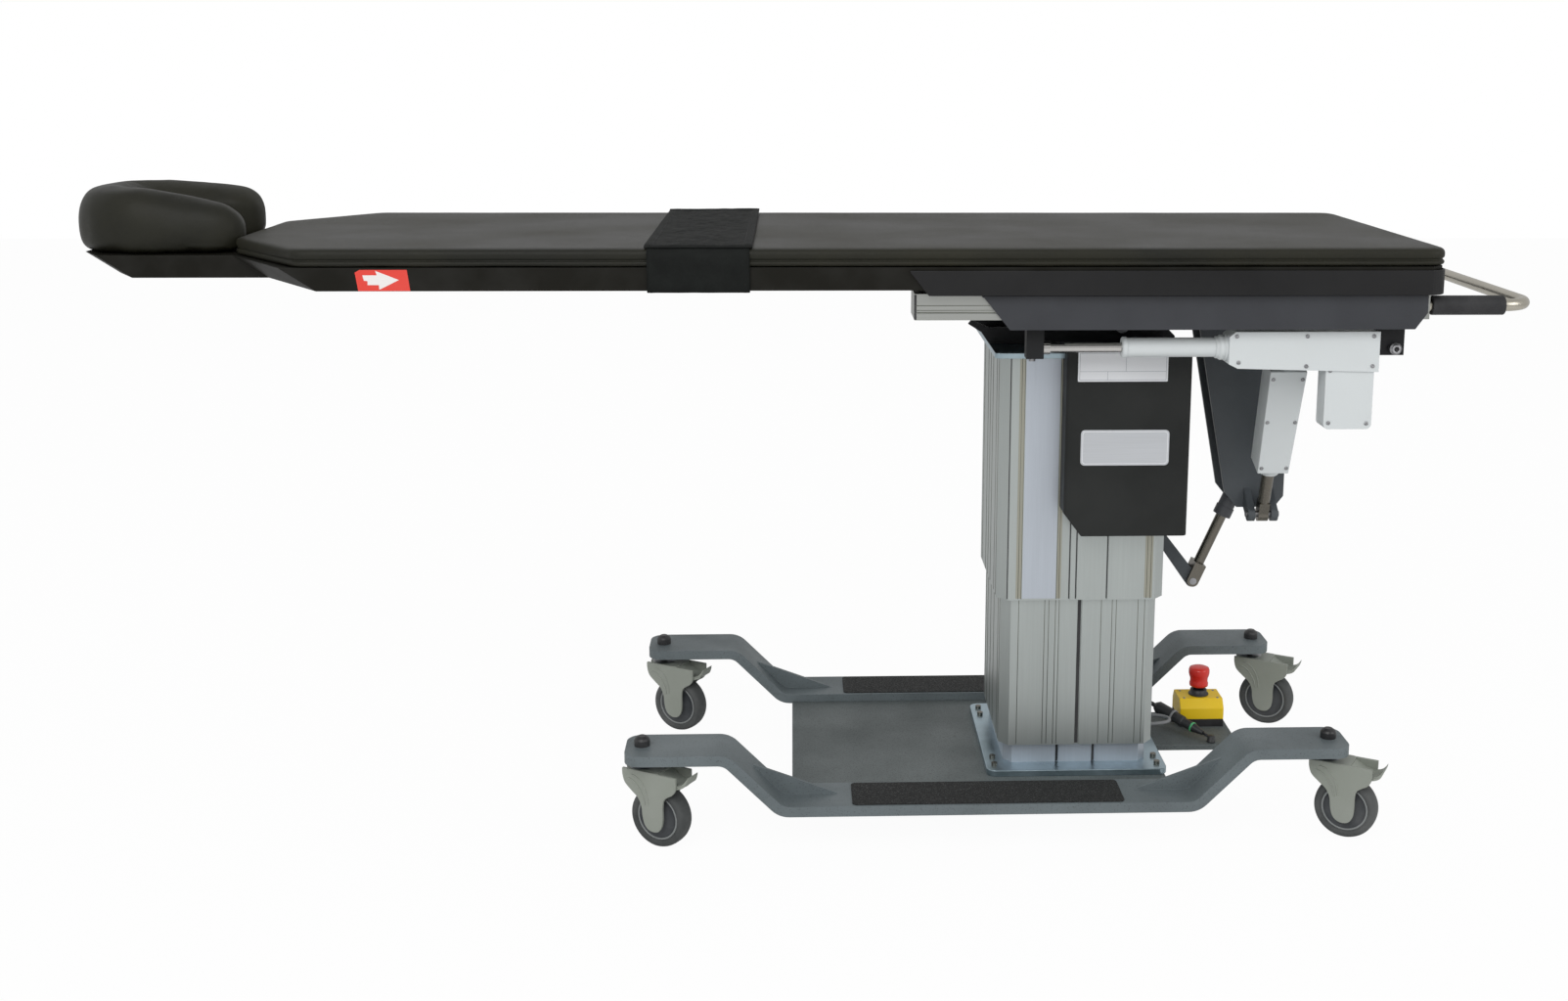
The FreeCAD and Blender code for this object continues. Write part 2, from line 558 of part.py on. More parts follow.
def column_plate():
    body = new_body("column_top_plate")
    left = D.column_x - D.plate_half_x
    right = D.column_x + D.plate_half_x
    pad(body, "plate", "XY", [box(left, -D.plate_half_y, right, D.plate_half_y)],
        D.outer_top, D.outer_top + D.plate_thick)
    corners = [(x, side * D.plate_half_y) for x in (left, right) for side in (-1, 1)]
    round_edges(body, "plate_round", D.plate_round, "z", corners)
    keep(body, "column_top_plate")
    lip = (D.plate_half_y + D.outer_half_y) / 2
    spots = [(-D.lip_bolt_x, -lip), (-D.lip_bolt_x, lip), (D.lip_bolt_x, lip)]
    bolts = [cylinder("lip_bolt", D.screw_r, D.screw_head, D.column_x + x, y, D.outer_top - D.screw_head)
             for x, y in spots]
    group("top_plate_bolts", bolts)


def column_head():
    """Black channel on the column's top plate, with ears for the tilt pivot."""
    body = new_body("column_head")
    low = D.outer_top + D.plate_thick
    floor_top = low + D.head_floor
    outer_y = D.head_inner_y + D.head_wall
    right = D.column_x + D.plate_half_x - 1
    pad(body, "head_sheet", "XY", [box(D.head_left, -outer_y, right, outer_y)], low, floor_top)
    wall = [(D.head_left, low), (D.head_right, low), (D.head_right, D.head_top - 14),
            (D.head_right - 14, D.head_top), (D.head_left, D.head_top), (D.head_left - 29, D.head_top + 12),
            (D.head_left - 34, D.head_top + 6), (D.head_left - 13, D.head_top - 7)]
    pin = circle(D.tilt_x, D.tilt_z, D.tilt_pin_r + D.running_gap)
    for side in (-1, 1):
        near, far = span(side, D.head_inner_y, outer_y)
        pad(body, f"head_wall_{side + 1}", "XZ", [wall], near, far)
        pad(body, f"head_ear_{side + 1}", "XZ", [circle(D.tilt_x, D.tilt_z, D.ear_r)], near, far)
    pocket(body, "head_bore", "XZ", [pin], -outer_y, outer_y)
    keep(body, "column_head")
    pivot = new_body("tilt_pivot_pin")
    reach = outer_y + D.pin_head
    head_r = D.tilt_pin_r + 3
    revolve(pivot, "pivot", [(0, -reach), (head_r, -reach), (head_r, -outer_y), (D.tilt_pin_r, -outer_y),
                             (D.tilt_pin_r, outer_y), (head_r, outer_y), (head_r, reach), (0, reach)])
    place(pivot, D.tilt_x, 0, D.tilt_z, Rotation(Vector(0, 0, 1), ALONG_Y))
    ram_reach = D.ram_blade + D.face_gap + D.ram_cheek + 1
    ram_pin = cylinder("ram_low_pin", D.ram_pin_r, ram_reach * 2, D.ram_low_x, -ram_reach, D.ram_low_z, ALONG_Y)
    group("column_pins", [pivot, ram_pin])


def control_box():
    body = new_body("control_box")
    cut = D.box_cut
    back = -D.plate_half_y
    low = [(D.box_left, D.box_bottom + cut), (D.box_left + cut * 0.76, D.box_bottom),
           (D.box_right, D.box_bottom)]
    pad(body, "box_shell", "XZ", [low + [(D.box_right, D.box_top), (D.box_left, D.box_top)]],
        D.box_front, back)
    corners = [(x, D.box_front) for x in (D.box_left, D.box_right)]
    round_edges(body, "box_round", D.box_round, "z", corners)
    pad(body, "box_back", "XZ", [low + [(D.box_right, D.outer_top), (D.box_left, D.outer_top)]],
        back, -D.outer_half_y)
    keep(body, "control_box")
    rating = new_body("rating_plate")
    pad(rating, "rating", "XZ", [box(D.rating_left, D.rating_bottom, D.rating_right, D.rating_top)],
        D.box_front - D.label_thick, D.box_front)
    name = new_body("name_plate")
    pad(name, "name", "XZ", [box(D.name_left, D.name_bottom, D.name_right, D.name_top)],
        D.box_front - D.label_thick, D.box_front)
    corners = [(x, z) for x in (D.name_left, D.name_right) for z in (D.name_bottom, D.name_top)]
    round_edges(name, "name_round", D.box_round, "y", corners)
    group("box_plates", [rating, name])


def ram_frame():
    """Unit vector, length and rotation of the tilt ram in the plane y = 0."""
    run = SIZES["ram_high_x"] - SIZES["ram_low_x"]
    rise = SIZES["ram_high_z"] - SIZES["ram_low_z"]
    return math.hypot(run, rise), Rotation(ALONG_Y, math.degrees(math.atan2(run, rise)))


def ram_arm():
    """Arm bolted to the column, with the eye of the tilt ram's lower pin."""
    body = new_body("ram_arm")
    face = D.column_x + D.outer_half_x
    foot = D.outer_bottom + D.ram_arm_tall / 4
    plate = face + D.ram_arm_thick
    pad(body, "arm_foot", "YZ", [box(-D.spine_half, foot, D.spine_half, foot + D.ram_arm_tall)], face, plate)
    rise = SIZES["ram_arm_drop"] * (D.ram_low_x - plate).value
    edge = D.ram_lug_r * 1.24
    tangent_x = D.ram_lug_r * 0.806
    tangent_z = D.ram_lug_r * 0.592
    blade = [(plate - 1, D.ram_low_z + rise - edge), (D.ram_low_x - tangent_x, D.ram_low_z - tangent_z),
             (D.ram_low_x + tangent_x, D.ram_low_z + tangent_z), (plate - 1, D.ram_low_z + rise + edge)]
    pad(body, "arm_blade", "XZ", [blade], -D.ram_blade, D.ram_blade)
    pad(body, "arm_lug", "XZ", [circle(D.ram_low_x, D.ram_low_z, D.ram_lug_r)], -D.ram_blade, D.ram_blade)
    pocket(body, "arm_bore", "XZ", [circle(D.ram_low_x, D.ram_low_z, D.ram_pin_r + D.running_gap)],
           -D.ram_blade, D.ram_blade)
    keep(body, "ram_arm")


def tilt_ram():
    length, rotation = ram_frame()
    rod = new_body("tilt_ram_rod")
    cheek_low = D.ram_blade + D.face_gap
    cheek_high = cheek_low + D.ram_cheek
    bridge = D.ram_bridge
    half = D.ram_lug_r - 2
    for side in (-1, 1):
        low, high = span(side, cheek_low, cheek_high)
        pad(rod, f"cheek_{side + 1}", "XZ", [box(-half, 0, half, bridge + 4)], low, high)
        pad(rod, f"cheek_end_{side + 1}", "XZ", [circle(0, 0, half)], low, high)
    pad(rod, "bridge", "XY", [box(-half, -cheek_high, half, cheek_high)], bridge, bridge + 11)
    pad(rod, "rod", "XY", [circle(0, 0, D.ram_rod_r)], bridge + 1, D.ram_rod_to)
    pocket(rod, "rod_bore", "XZ", [circle(0, 0, D.ram_pin_r + D.running_gap)], -cheek_high, cheek_high)
    place(rod, D.ram_low_x, 0, D.ram_low_z, rotation)
    keep(rod, "tilt_ram_rod")
    tube = new_body("tilt_ram_tube")
    head_half = D.ram_head_half
    slot_along = D.ram_pin_r + D.ram_slip_along
    slot_across = D.ram_pin_r + D.ram_slip_across
    pad(tube, "tube", "XY", [circle(0, 0, D.ram_tube_r)], D.ram_tube_from, length - slot_along - 4)
    pad(tube, "tube_lip", "XY", [circle(0, 0, D.ram_tube_r + 1.5)], D.ram_tube_from, D.ram_tube_from + 16)
    pad(tube, "head", "XY", [box(-head_half, -head_half, head_half, head_half)],
        length - slot_along - 8, length + slot_along + 8)
    edges = [(x, y) for x in (-head_half, head_half) for y in (-head_half, head_half)]
    round_edges(tube, "head_round", 6, "z", edges)
    pocket(tube, "tube_bore", "XY", [circle(0, 0, D.ram_rod_r + D.running_gap)],
           D.ram_tube_from, D.ram_tube_from + D.ram_bore)
    pocket(tube, "head_slot", "XZ", [box(-slot_across, length - slot_along, slot_across, length + slot_along)],
           -head_half, head_half)
    place(tube, D.ram_low_x, 0, D.ram_low_z, rotation)
    keep(tube, "tilt_ram_tube")


# ---------------------------------------------------------------- tilt frame

def tilt_frame():
    """Spine over the column head, its hub on the tilt pivot and the lugs that hold the roll shaft."""
    body = new_body("tilt_frame")
    spine = [(D.spine_left, D.spine_top), (D.spine_left, D.spine_bottom + 10), (D.spine_left + 80, D.spine_bottom),
             (D.spine_right, D.spine_bottom), (D.spine_right, D.spine_top)]
    pad(body, "spine", "XZ", [spine], -D.spine_half, D.spine_half)
    hub_half = D.head_inner_y - D.face_gap
    pad(body, "hub", "XZ", [circle(D.tilt_x, D.tilt_z, D.tilt_hub_r)], -hub_half, hub_half)
    web = box(D.tilt_x - D.tilt_hub_r, D.tilt_z, D.tilt_x + D.tilt_hub_r, D.spine_bottom + 5)
    pad(body, "hub_web", "XZ", [web], -D.spine_half, D.spine_half)
    left_end = D.beam_left_x - D.beam_half - D.face_gap
    for name, start in (("left_lug", left_end - D.lug_thick), ("right_lug", D.right_lug_x)):
        pad(body, name, "YZ", [box(-D.lug_half, D.spine_top - 2, D.lug_half, D.lug_top)],
            start, start + D.lug_thick)
    pocket(body, "hub_bore", "XZ", [circle(D.tilt_x, D.tilt_z, D.tilt_pin_r + D.running_gap)],
           -hub_half, hub_half)
    pocket(body, "shaft_bore", "YZ", [circle(0, D.roll_z, D.shaft_r + D.running_gap)],
           left_end - D.lug_thick, D.right_lug_x + D.lug_thick)
    keep(body, "tilt_frame")
    shaft_left = left_end - D.lug_thick - 3
    shaft = cylinder("roll_shaft", D.shaft_r, D.right_lug_x + D.lug_thick + 3 - shaft_left,
                     shaft_left, 0, D.roll_z, ALONG_X)
    keep(shaft, "roll_shaft")


def v_bracket():
    """Two tapering plates under the spine; the near one carries the roll ram's lower ears."""
    toe = D.roll_low_z + D.v_toe_up
    outline = [(D.v_left, D.spine_bottom), (D.v_left + D.v_shoulder / 4, D.spine_bottom - D.v_shoulder),
               (D.v_waist_x, D.roll_low_z + D.v_waist_up), (D.v_toe_left, toe), (D.v_toe_right, toe),
               (D.v_nose_x, D.roll_low_z + D.v_nose_low), (D.v_nose_x, D.roll_low_z + D.v_nose_high),
               (D.v_hip_x, D.spine_bottom - D.v_hip_drop), (D.v_right, D.spine_bottom)]
    pieces = []
    for side in (-1, 1):
        body = new_body("v_plate_near" if side < 0 else "v_plate_far")
        low, high = span(side, D.v_inner, D.v_inner + D.v_thick)
        pad(body, "v_plate", "XZ", [outline], low, high)
        pocket(body, "ram_hole", "XZ", [circle(D.ram_high_x, D.ram_high_z, D.ram_pin_r + D.running_gap)],
               low, high)
        if side < 0:
            ear = [(low, D.roll_low_z + 5), (low, D.roll_low_z + 38),
                   (D.roll_low_y - D.roll_eye_r * 0.7, D.roll_low_z + D.roll_eye_r * 0.7),
                   (D.roll_low_y + D.roll_eye_r * 0.7, D.roll_low_z - D.roll_eye_r * 0.7)]
            for end in (-1, 1):
                start, stop = span(end, D.roll_ear_inner, D.roll_ear_outer)
                start = D.beam_right_x + start
                stop = D.beam_right_x + stop
                pad(body, f"ear_{end + 1}", "YZ", [ear], start, stop)
                pad(body, f"ear_end_{end + 1}", "YZ", [circle(D.roll_low_y, D.roll_low_z, D.roll_eye_r)],
                    start, stop)
            reach = D.roll_ear_outer
            pocket(body, "ear_bore", "YZ", [circle(D.roll_low_y, D.roll_low_z, D.roll_pin_r + D.running_gap)],
                   D.beam_right_x - reach, D.beam_right_x + reach)
        pieces.append(body)
    group("v_bracket", pieces)
    reach = D.v_inner + D.v_thick + 2
    upper = cylinder("ram_high_pin", D.ram_pin_r, reach * 2, D.ram_high_x, -reach, D.ram_high_z, ALONG_Y)
    reach = D.roll_ear_outer + 3
    lower = cylinder("roll_low_pin", D.roll_pin_r, reach * 2, D.beam_right_x - reach, D.roll_low_y,
                     D.roll_low_z, ALONG_X)
    group("bracket_pins", [upper, lower])


def roll_ram():
    """Rod hinged on the V bracket and the tapered actuator housing that climbs along it."""
    run = SIZES["roll_high_y"] - SIZES["roll_low_y"]
    rise = SIZES["roll_high_z"] - SIZES["roll_low_z"]
    length = math.hypot(run, rise)
    rotation = Rotation(ALONG_X, math.degrees(math.atan2(-run, rise)))
    eye_half = D.roll_eye_half
    rod = new_body("roll_ram_rod")
    pad(rod, "eye", "YZ", [circle(0, 0, D.roll_eye_r)], -eye_half, eye_half)
    pad(rod, "neck", "XY", [box(-eye_half, -D.roll_rod_r, eye_half, D.roll_rod_r)], 4, 26)
    pad(rod, "rod", "XY", [circle(0, 0, D.roll_rod_r)], 25, D.roll_rod_to)
    pocket(rod, "eye_bore", "YZ", [circle(0, 0, D.roll_pin_r + D.running_gap)], -eye_half, eye_half)
    place(rod, D.beam_right_x, D.roll_low_y, D.roll_low_z, rotation)
    keep(rod, "roll_ram_rod")
    house = new_body("roll_ram_housing")
    start = D.roll_house_from
    deep = D.roll_house_deep
    loft(house, "case", "XY", box(-D.roll_house_low, -deep, D.roll_house_low, deep), start + 12,
         box(-D.roll_house_high, -deep, D.roll_house_high, deep), D.roll_house_to)
    pad(house, "collar", "XY", [circle(0, 0, D.roll_rod_r + 6.5)], start, start + 13)
    slot_across = D.roll_pin_r + D.roll_slip_across
    slot_along = D.roll_pin_r + D.ram_slip_along
    neck_half = slot_across + 7
    pad(house, "top_eye", "XY", [box(-eye_half, -neck_half, eye_half, neck_half)],
        D.roll_house_to - 1, length + slot_along + 7)
    pocket(house, "rod_bore", "XY", [circle(0, 0, D.roll_rod_r + D.running_gap)], start, start + D.roll_bore)
    pocket(house, "top_slot", "YZ", [box(-slot_across, length - slot_along, slot_across, length + slot_along)],
           -eye_half, eye_half)
    place(house, D.beam_right_x, D.roll_low_y, D.roll_low_z, rotation)
    keep(house, "roll_ram_housing")


# ---------------------------------------------------------------- roll frame

def roll_frame():
    """Two cross beams on the roll shaft, joined by side members, with cheeks for the roll ram."""
    body = new_body("roll_frame")
    left = D.beam_left_x - D.beam_half
    right = D.beam_right_x + D.beam_half
    pad(body, "frame", "XY", [box(left, -D.frame_half_y, right, D.frame_half_y)], D.beam_bottom, D.beam_top)
    inner_y = D.frame_half_y - D.member_wide
    opening = box(D.beam_left_x + D.beam_half, -inner_y, D.beam_right_x - D.beam_half, inner_y)
    pocket(body, "frame_opening", "XY", [opening], D.beam_bottom, D.beam_top)
    cheek = [(-D.frame_half_y + 5, D.beam_bottom + 1), (-D.frame_half_y + 45, D.beam_bottom + 1),
             (D.roll_high_y + D.roll_eye_r * 0.9, D.roll_high_z - D.roll_eye_r * 0.4),
             (D.roll_high_y - D.roll_eye_r * 0.9, D.roll_high_z + D.roll_eye_r * 0.4)]
    for end in (-1, 1):
        low, high = span(end, D.roll_cheek_inner, D.roll_cheek_inner + D.roll_cheek_thick)
        low = D.beam_right_x + low
        high = D.beam_right_x + high
        pad(body, f"cheek_{end + 1}", "YZ", [cheek], low, high)
        pad(body, f"cheek_end_{end + 1}", "YZ", [circle(D.roll_high_y, D.roll_high_z, D.roll_eye_r)], low, high)
    reach = D.roll_cheek_inner + D.roll_cheek_thick
    pocket(body, "cheek_bore", "YZ", [circle(D.roll_high_y, D.roll_high_z, D.roll_pin_r + D.running_gap)],
           D.beam_right_x - reach, D.beam_right_x + reach)
    pocket(body, "shaft_bore", "YZ", [circle(0, D.roll_z, D.shaft_r + D.running_gap)], left, right)
    keep(body, "roll_frame")
    pin = cylinder("roll_ram_pin", D.roll_pin_r, (reach + 3) * 2, D.beam_right_x - reach - 3,
                   D.roll_high_y, D.roll_high_z, ALONG_X)
    keep(pin, "roll_ram_pin")


def bearing_blocks():
    """Blocks on the roll frame whose tongues run in the side rails' inner slots."""
    pieces = []
    for name, x in (("left", D.beam_left_x), ("right", D.beam_right_x)):
        for side in (-1, 1):
            body = new_body(f"bearing_{name}_{'near' if side < 0 else 'far'}")
            low, high = span(side, D.frame_half_y, D.side_inner - D.face_gap)
            pad(body, "block", "YZ", [box(low, D.block_bottom, high, D.block_top)],
                x - D.block_half, x + D.block_half)
            low, high = span(side, D.side_inner - 1, D.side_inner + D.tongue_deep)
            pad(body, "tongue", "YZ", [box(low, D.tee_low + D.face_gap, high, D.tee_high - D.face_gap)],
                x - D.block_half, x + D.block_half)
            pieces.append(body)
    group("bearing_blocks", pieces)


def slide_anchor():
    """Hanger under the near left bearing block, the rod's end block and the slide rod."""
    body = new_body("slide_rod_bracket")
    outer_y = D.slide_y - D.slide_block_half
    pad(body, "hanger", "XY", [box(D.slide_block_left, outer_y, D.hanger_right, -D.hanger_inner_y)],
        D.hanger_bottom, D.hanger_top)
    pad(body, "hanger_web", "XY", [box(D.beam_left_x - D.block_half, -D.side_inner + 1, D.hanger_right,
                                       -D.hanger_inner_y)], D.hanger_top - 1, D.block_bottom)
    pad(body, "end_block", "XZ", [box(D.slide_block_left, D.slide_z - D.slide_block_high,
                                      D.slide_block_right, D.hanger_bottom + 1)],
        outer_y, D.slide_y + D.slide_block_half)
    keep(body, "slide_rod_bracket")
    rod = new_body("slide_rod")
    pad(rod, "rod", "YZ", [circle(D.slide_y, D.slide_z, D.slide_rod_r)], D.slide_block_right, D.slide_rod_right)
    pad(rod, "rod_nut", "YZ", [circle(D.slide_y, D.slide_z, D.slide_rod_r + 3)], D.slide_block_right,
        D.slide_block_right + 10)
    keep(rod, "slide_rod")


# ---------------------------------------------------------------- sliding top

def side_rails():
    """Wide extrusions with two chambers, a tee slot inside and a socket for the handle."""
    pieces = []
    for side in (-1, 1):
        name = "near" if side < 0 else "far"
        body = new_body("side_rail_" + name)
        low, high = span(side, D.side_inner, D.side_outer)
        pad(body, "rail", "YZ", [box(low, D.side_bottom, high, D.side_top)], D.side_left, D.side_right)
        wall = D.chamber_wall
        socket = D.handle_y - D.handle_r - wall
        low, high = span(side, D.side_inner + D.tee_deep + wall, socket)
        pocket(body, "chamber", "YZ", [box(low, D.side_bottom + wall, high, D.side_top - wall)],
               D.side_left, D.side_right)
        low, high = span(side, D.side_inner, D.side_inner + D.tee_deep)
        pocket(body, "tee_slot", "YZ", [box(low, D.tee_low, high, D.tee_high)], D.side_left, D.side_right)
        low, high = span(side, D.side_outer - 2, D.side_outer)
        pocket(body, "line", "YZ", [box(low, D.side_bottom + 10, high, D.side_bottom + 12)],
               D.side_left, D.side_right)
        pocket(body, "handle_socket", "YZ", [circle(side * D.handle_y, D.handle_z, D.handle_r + D.running_gap)],
               D.side_right - D.handle_plug, D.side_right)
        low, high = span(side, D.side_inner, D.side_outer)
        cap = new_body("rail_cap_" + name)
        pad(cap, "cap", "YZ", [box(low, D.side_bottom, high, D.side_top)], D.side_left - D.cap_thick, D.side_left)
        pieces += [body, cap]
    group("side_rails", pieces)


def side_covers():
    """Sheet skirts outside the rails, each with a lip that meets its rail."""
    pieces = []
    for side in (-1, 1):
        body = new_body("side_cover_near" if side < 0 else "side_cover_far")
        low, high = span(side, D.cover_inner, D.cover_inner + D.cover_thick)
        outline = [(D.cover_left, D.cover_top), (D.cover_left + 42, D.cover_bottom),
                   (D.cover_right - 18, D.cover_bottom), (D.cover_right, D.cover_bottom + 25),
                   (D.cover_right, D.cover_top)]
        pad(body, "skirt", "XZ", [outline], low, high)
        low, high = span(side, D.side_outer, D.cover_inner + 1)
        pad(body, "lip", "XY", [box(D.cover_left, low, D.cover_right, high)],
            D.cover_top - D.cover_thick, D.cover_top)
        pieces.append(body)
    group("side_covers", pieces)


def subframe():
    """Shallow steel tray on the rails, open at the head end, with ribs that carry the pan."""
    body = new_body("subframe")
    low = D.side_top
    outline = [(D.tray_left, D.tray_top), (D.tray_left, D.tray_top - 3), (D.tray_left + 28, low),
               (D.tray_right, low), (D.tray_right, D.tray_top)]
    pad(body, "tray", "XZ", [outline], -D.tray_half, D.tray_half)
    sheet = D.tray_sheet
    inner = box(D.tray_left - 1, -D.tray_half + sheet, D.tray_right - sheet, D.tray_half - sheet)
    pocket(body, "tray_inside", "XY", [inner], low + sheet, D.tray_top)
    walls = [(D.tray_right - sheet, side * (D.tray_half - sheet)) for side in (-1, 1)]
    round_edges(body, "tray_inside_round", D.tray_round - sheet, "z", walls)
    corners = [(D.tray_right, side * D.tray_half) for side in (-1, 1)]
    round_edges(body, "tray_round", D.tray_round, "z", corners)
    ribs = [box(D.tray_left + 40, y - 15, D.tray_right - 40, y + 15) for y in (-230, -80, 80, 230)]
    pad(body, "tray_ribs", "XY", ribs, low + sheet - 1, low + sheet + D.tray_rib)
    keep(body, "subframe")


def pan_outline(inset):
    """Plan of the pan; the inset shortens the slanted ends for its narrower underside."""
    cut = D.pan_corner
    wide = D.tray_half - D.pan_inset
    half = [(D.pan_right, wide - cut), (D.pan_right - cut, wide), (D.pan_taper + inset, wide),
            (D.pan_neck + inset, D.pan_head_half), (D.pan_tip + D.pan_tip_cut + inset, D.pan_head_half),
            (D.pan_tip + inset, D.pan_tip_half)]
    return [(x, -y) for x, y in half] + [(x, y) for x, y in reversed(half)]


def table_pan():
    body = new_body("table_pan")
    low = D.side_top + D.tray_sheet + D.tray_rib
    loft(body, "pan", "XY", pan_outline(D.pan_slope), low, pan_outline(0), D.pan_top)
    keep(body, "table_pan")


def mattress():
    body = new_body("mattress")
    wide = D.tray_half - D.mattress_inset
    half = [(D.mattress_right, wide), (D.mattress_taper, wide),
            (D.mattress_head, D.mattress_head_half)]
    outline = [(x, -y) for x, y in half] + [(x, y) for x, y in reversed(half)]
    pad(body, "foam", "XY", [outline], D.pan_top + D.soft_gap, D.mattress_top)
    corners = [(D.mattress_right, side * wide) for side in (-1, 1)]
    round_edges(body, "foam_round", D.mattress_round, "z", corners)
    keep(body, "mattress")


def face_cushion():
    """Crescent cushion on the head platform, open towards the mattress."""
    body = new_body("face_cushion")
    low = D.pan_top + D.soft_gap
    half = D.cushion_half
    pad(body, "crown", "XY", [box(D.cushion_left, -half, D.cushion_right, half)], low, D.cushion_top)
    round_edges(body, "crown_round", D.cushion_crown, "z", [(D.cushion_left, side * half) for side in (-1, 1)])
    centre = D.cushion_left + D.cushion_crown
    pocket(body, "breathing_gap", "XY",
           [box(centre, -D.cushion_gap_half, D.cushion_right, D.cushion_gap_half)], low, D.cushion_top)
    pocket(body, "breathing_hole", "XY", [circle(centre, 0, D.cushion_gap_half)], low, D.cushion_top)
    ends = [(D.cushion_right, side * y) for side in (-1, 1) for y in (half, D.cushion_gap_half)]
    round_edges(body, "arm_round", D.cushion_round, "z", ends)
    keep(body, "face_cushion")


def patient_strap():
    """One band round the mattress and the pan."""
    body = new_body("patient_strap")
    inner_y = D.tray_half - D.mattress_inset + D.soft_gap
    inner_low = D.side_top + D.tray_sheet + D.tray_rib - D.soft_gap
    inner_high = D.mattress_top + D.soft_gap
    thick = D.strap_thick
    pad(body, "band", "YZ", [box(-inner_y - thick, inner_low - thick, inner_y + thick, inner_high + thick)],
        D.strap_left, D.strap_right)
    pocket(body, "band_inside", "YZ", [box(-inner_y, inner_low, inner_y, inner_high)],
           D.strap_left, D.strap_right)
    keep(body, "patient_strap")


def handle():
    """Bent tube plugged into both side rails, with a grip on each leg."""
    body = new_body("handle_bar")
    start = SIZES["side_right"] - SIZES["handle_plug"] + SIZES["face_gap"]
    far_x = SIZES["handle_x"]
    leg_y = SIZES["handle_y"]
    bend = SIZES["handle_bend"]
    bow = bend * (1 - math.cos(math.radians(45)))
    path = body.newObject("Sketcher::SketchObject", "handle_path")
    plane = [item for item in body.Origin.OriginFeatures if item.Role == "XY_Plane"][0]
    path.AttachmentSupport = (plane, [""])
    path.MapMode = "FlatFace"
    path.AttachmentOffset = Placement(Vector(0, 0, SIZES["handle_z"]), Rotation())
    path.setExpression("AttachmentOffset.Base.z", D.handle_z.text)
    near_end = Vector(far_x - bend, -leg_y, 0)
    near_bar = Vector(far_x, -leg_y + bend, 0)
    far_bar = Vector(far_x, leg_y - bend, 0)
    far_end = Vector(far_x - bend, leg_y, 0)
    near_mid = Vector(far_x - bow, -leg_y + bow, 0)
    far_mid = Vector(far_x - bow, leg_y - bow, 0)
    path.addGeometry(Part.LineSegment(Vector(start, -leg_y, 0), near_end))
    path.addGeometry(Part.Arc(near_end, near_mid, near_bar))
    path.addGeometry(Part.LineSegment(near_bar, far_bar))
    path.addGeometry(Part.Arc(far_bar, far_mid, far_end))
    path.addGeometry(Part.LineSegment(far_end, Vector(start, leg_y, 0)))
    section = draw(body, "handle_section", "YZ", [circle(-D.handle_y, D.handle_z, D.handle_r)], start)
    DOC.recompute()
    pipe = body.newObject("PartDesign::AdditivePipe", "handle_tube")
    pipe.Profile = section
    pipe.Spine = (path, [f"Edge{number}" for number in range(1, 6)])
    keep(body, "handle_bar")
    grips = []
    for side in (-1, 1):
        grip = new_body("grip_near" if side < 0 else "grip_far")
        ring = [circle(side * D.handle_y, D.handle_z, D.grip_r),
                circle(side * D.handle_y, D.handle_z, D.handle_r + D.running_gap)]
        pad(grip, "grip", "YZ", ring, D.grip_left, D.grip_right)
        grips.append(grip)
    group("handle_grips", grips)


def slide_actuator():
    """Tube, housing and motor under the near rail, hung from a clevis at the foot end."""
    tube = new_body("slide_tube")
    bore = D.slide_rod_r + D.running_gap
    pad(tube, "tube", "YZ", [circle(D.slide_y, D.slide_z, D.slide_tube_r), circle(D.slide_y, D.slide_z, bore)],
        D.slide_tube_left, D.slide_tube_right)
    keep(tube, "slide_tube")
    house = new_body("slide_housing")
    low = D.slide_y - D.house_half
    high = D.slide_y + D.house_half
    left = D.slide_tube_right
    case = [(left, D.slide_z - D.case_low), (left + D.case_nose, D.house_bottom),
            (D.house_right, D.house_bottom - 6), (D.house_right, D.house_top),
            (left + D.case_nose * 0.7, D.house_top), (left, D.slide_z + D.case_high)]
    pad(house, "case", "XZ", [case], low, high)
    motor = box(D.motor_left, D.motor_bottom, D.motor_right, D.house_bottom)
    pad(house, "motor", "XZ", [motor], low + 3, high - 3)
    corners = [(x, D.motor_bottom) for x in (D.motor_left, D.motor_right)]
    round_edges(house, "motor_round", D.motor_round, "y", corners)
    eye_half = D.clevis_eye_half
    eye = box(D.house_right - 1, D.slide_z - 10, D.clevis_x + 10, D.slide_z + 10)
    pad(house, "eye", "XZ", [eye], D.slide_y - eye_half, D.slide_y + eye_half)
    pocket(house, "rod_bore", "YZ", [circle(D.slide_y, D.slide_z, bore)], left, D.slide_bore_right)
    bolt_hole = circle(D.clevis_x, D.slide_z, D.clevis_bolt_r + D.running_gap)
    pocket(house, "bolt_bore", "XZ", [bolt_hole], D.slide_y - eye_half, D.slide_y + eye_half)
    keep(house, "slide_housing")
    clevis = new_body("clevis_plate")
    top = D.side_bottom
    pad(clevis, "flange", "XY", [box(D.house_right + 1, low, D.clevis_right, high)], top - D.clevis_flange, top)
    for side in (-1, 1):
        near, far = span(side, eye_half + D.face_gap, eye_half + D.face_gap + D.clevis_cheek)
        cheek = box(D.house_right + 1, D.slide_z - 11, D.clevis_right, top - 1)
        pad(clevis, f"cheek_{side + 1}", "XZ", [cheek], D.slide_y + near, D.slide_y + far)
    reach = eye_half + D.face_gap + D.clevis_cheek
    pocket(clevis, "clevis_bore", "XZ", [bolt_hole], D.slide_y - reach, D.slide_y + reach)
    bolt = cylinder("clevis_bolt", D.clevis_bolt_r, (reach + 4) * 2, D.clevis_x, D.slide_y - reach - 4,
                    D.slide_z, ALONG_Y)
    group("slide_clevis", [clevis, bolt])


# ---------------------------------------------------------------- stop button and leads

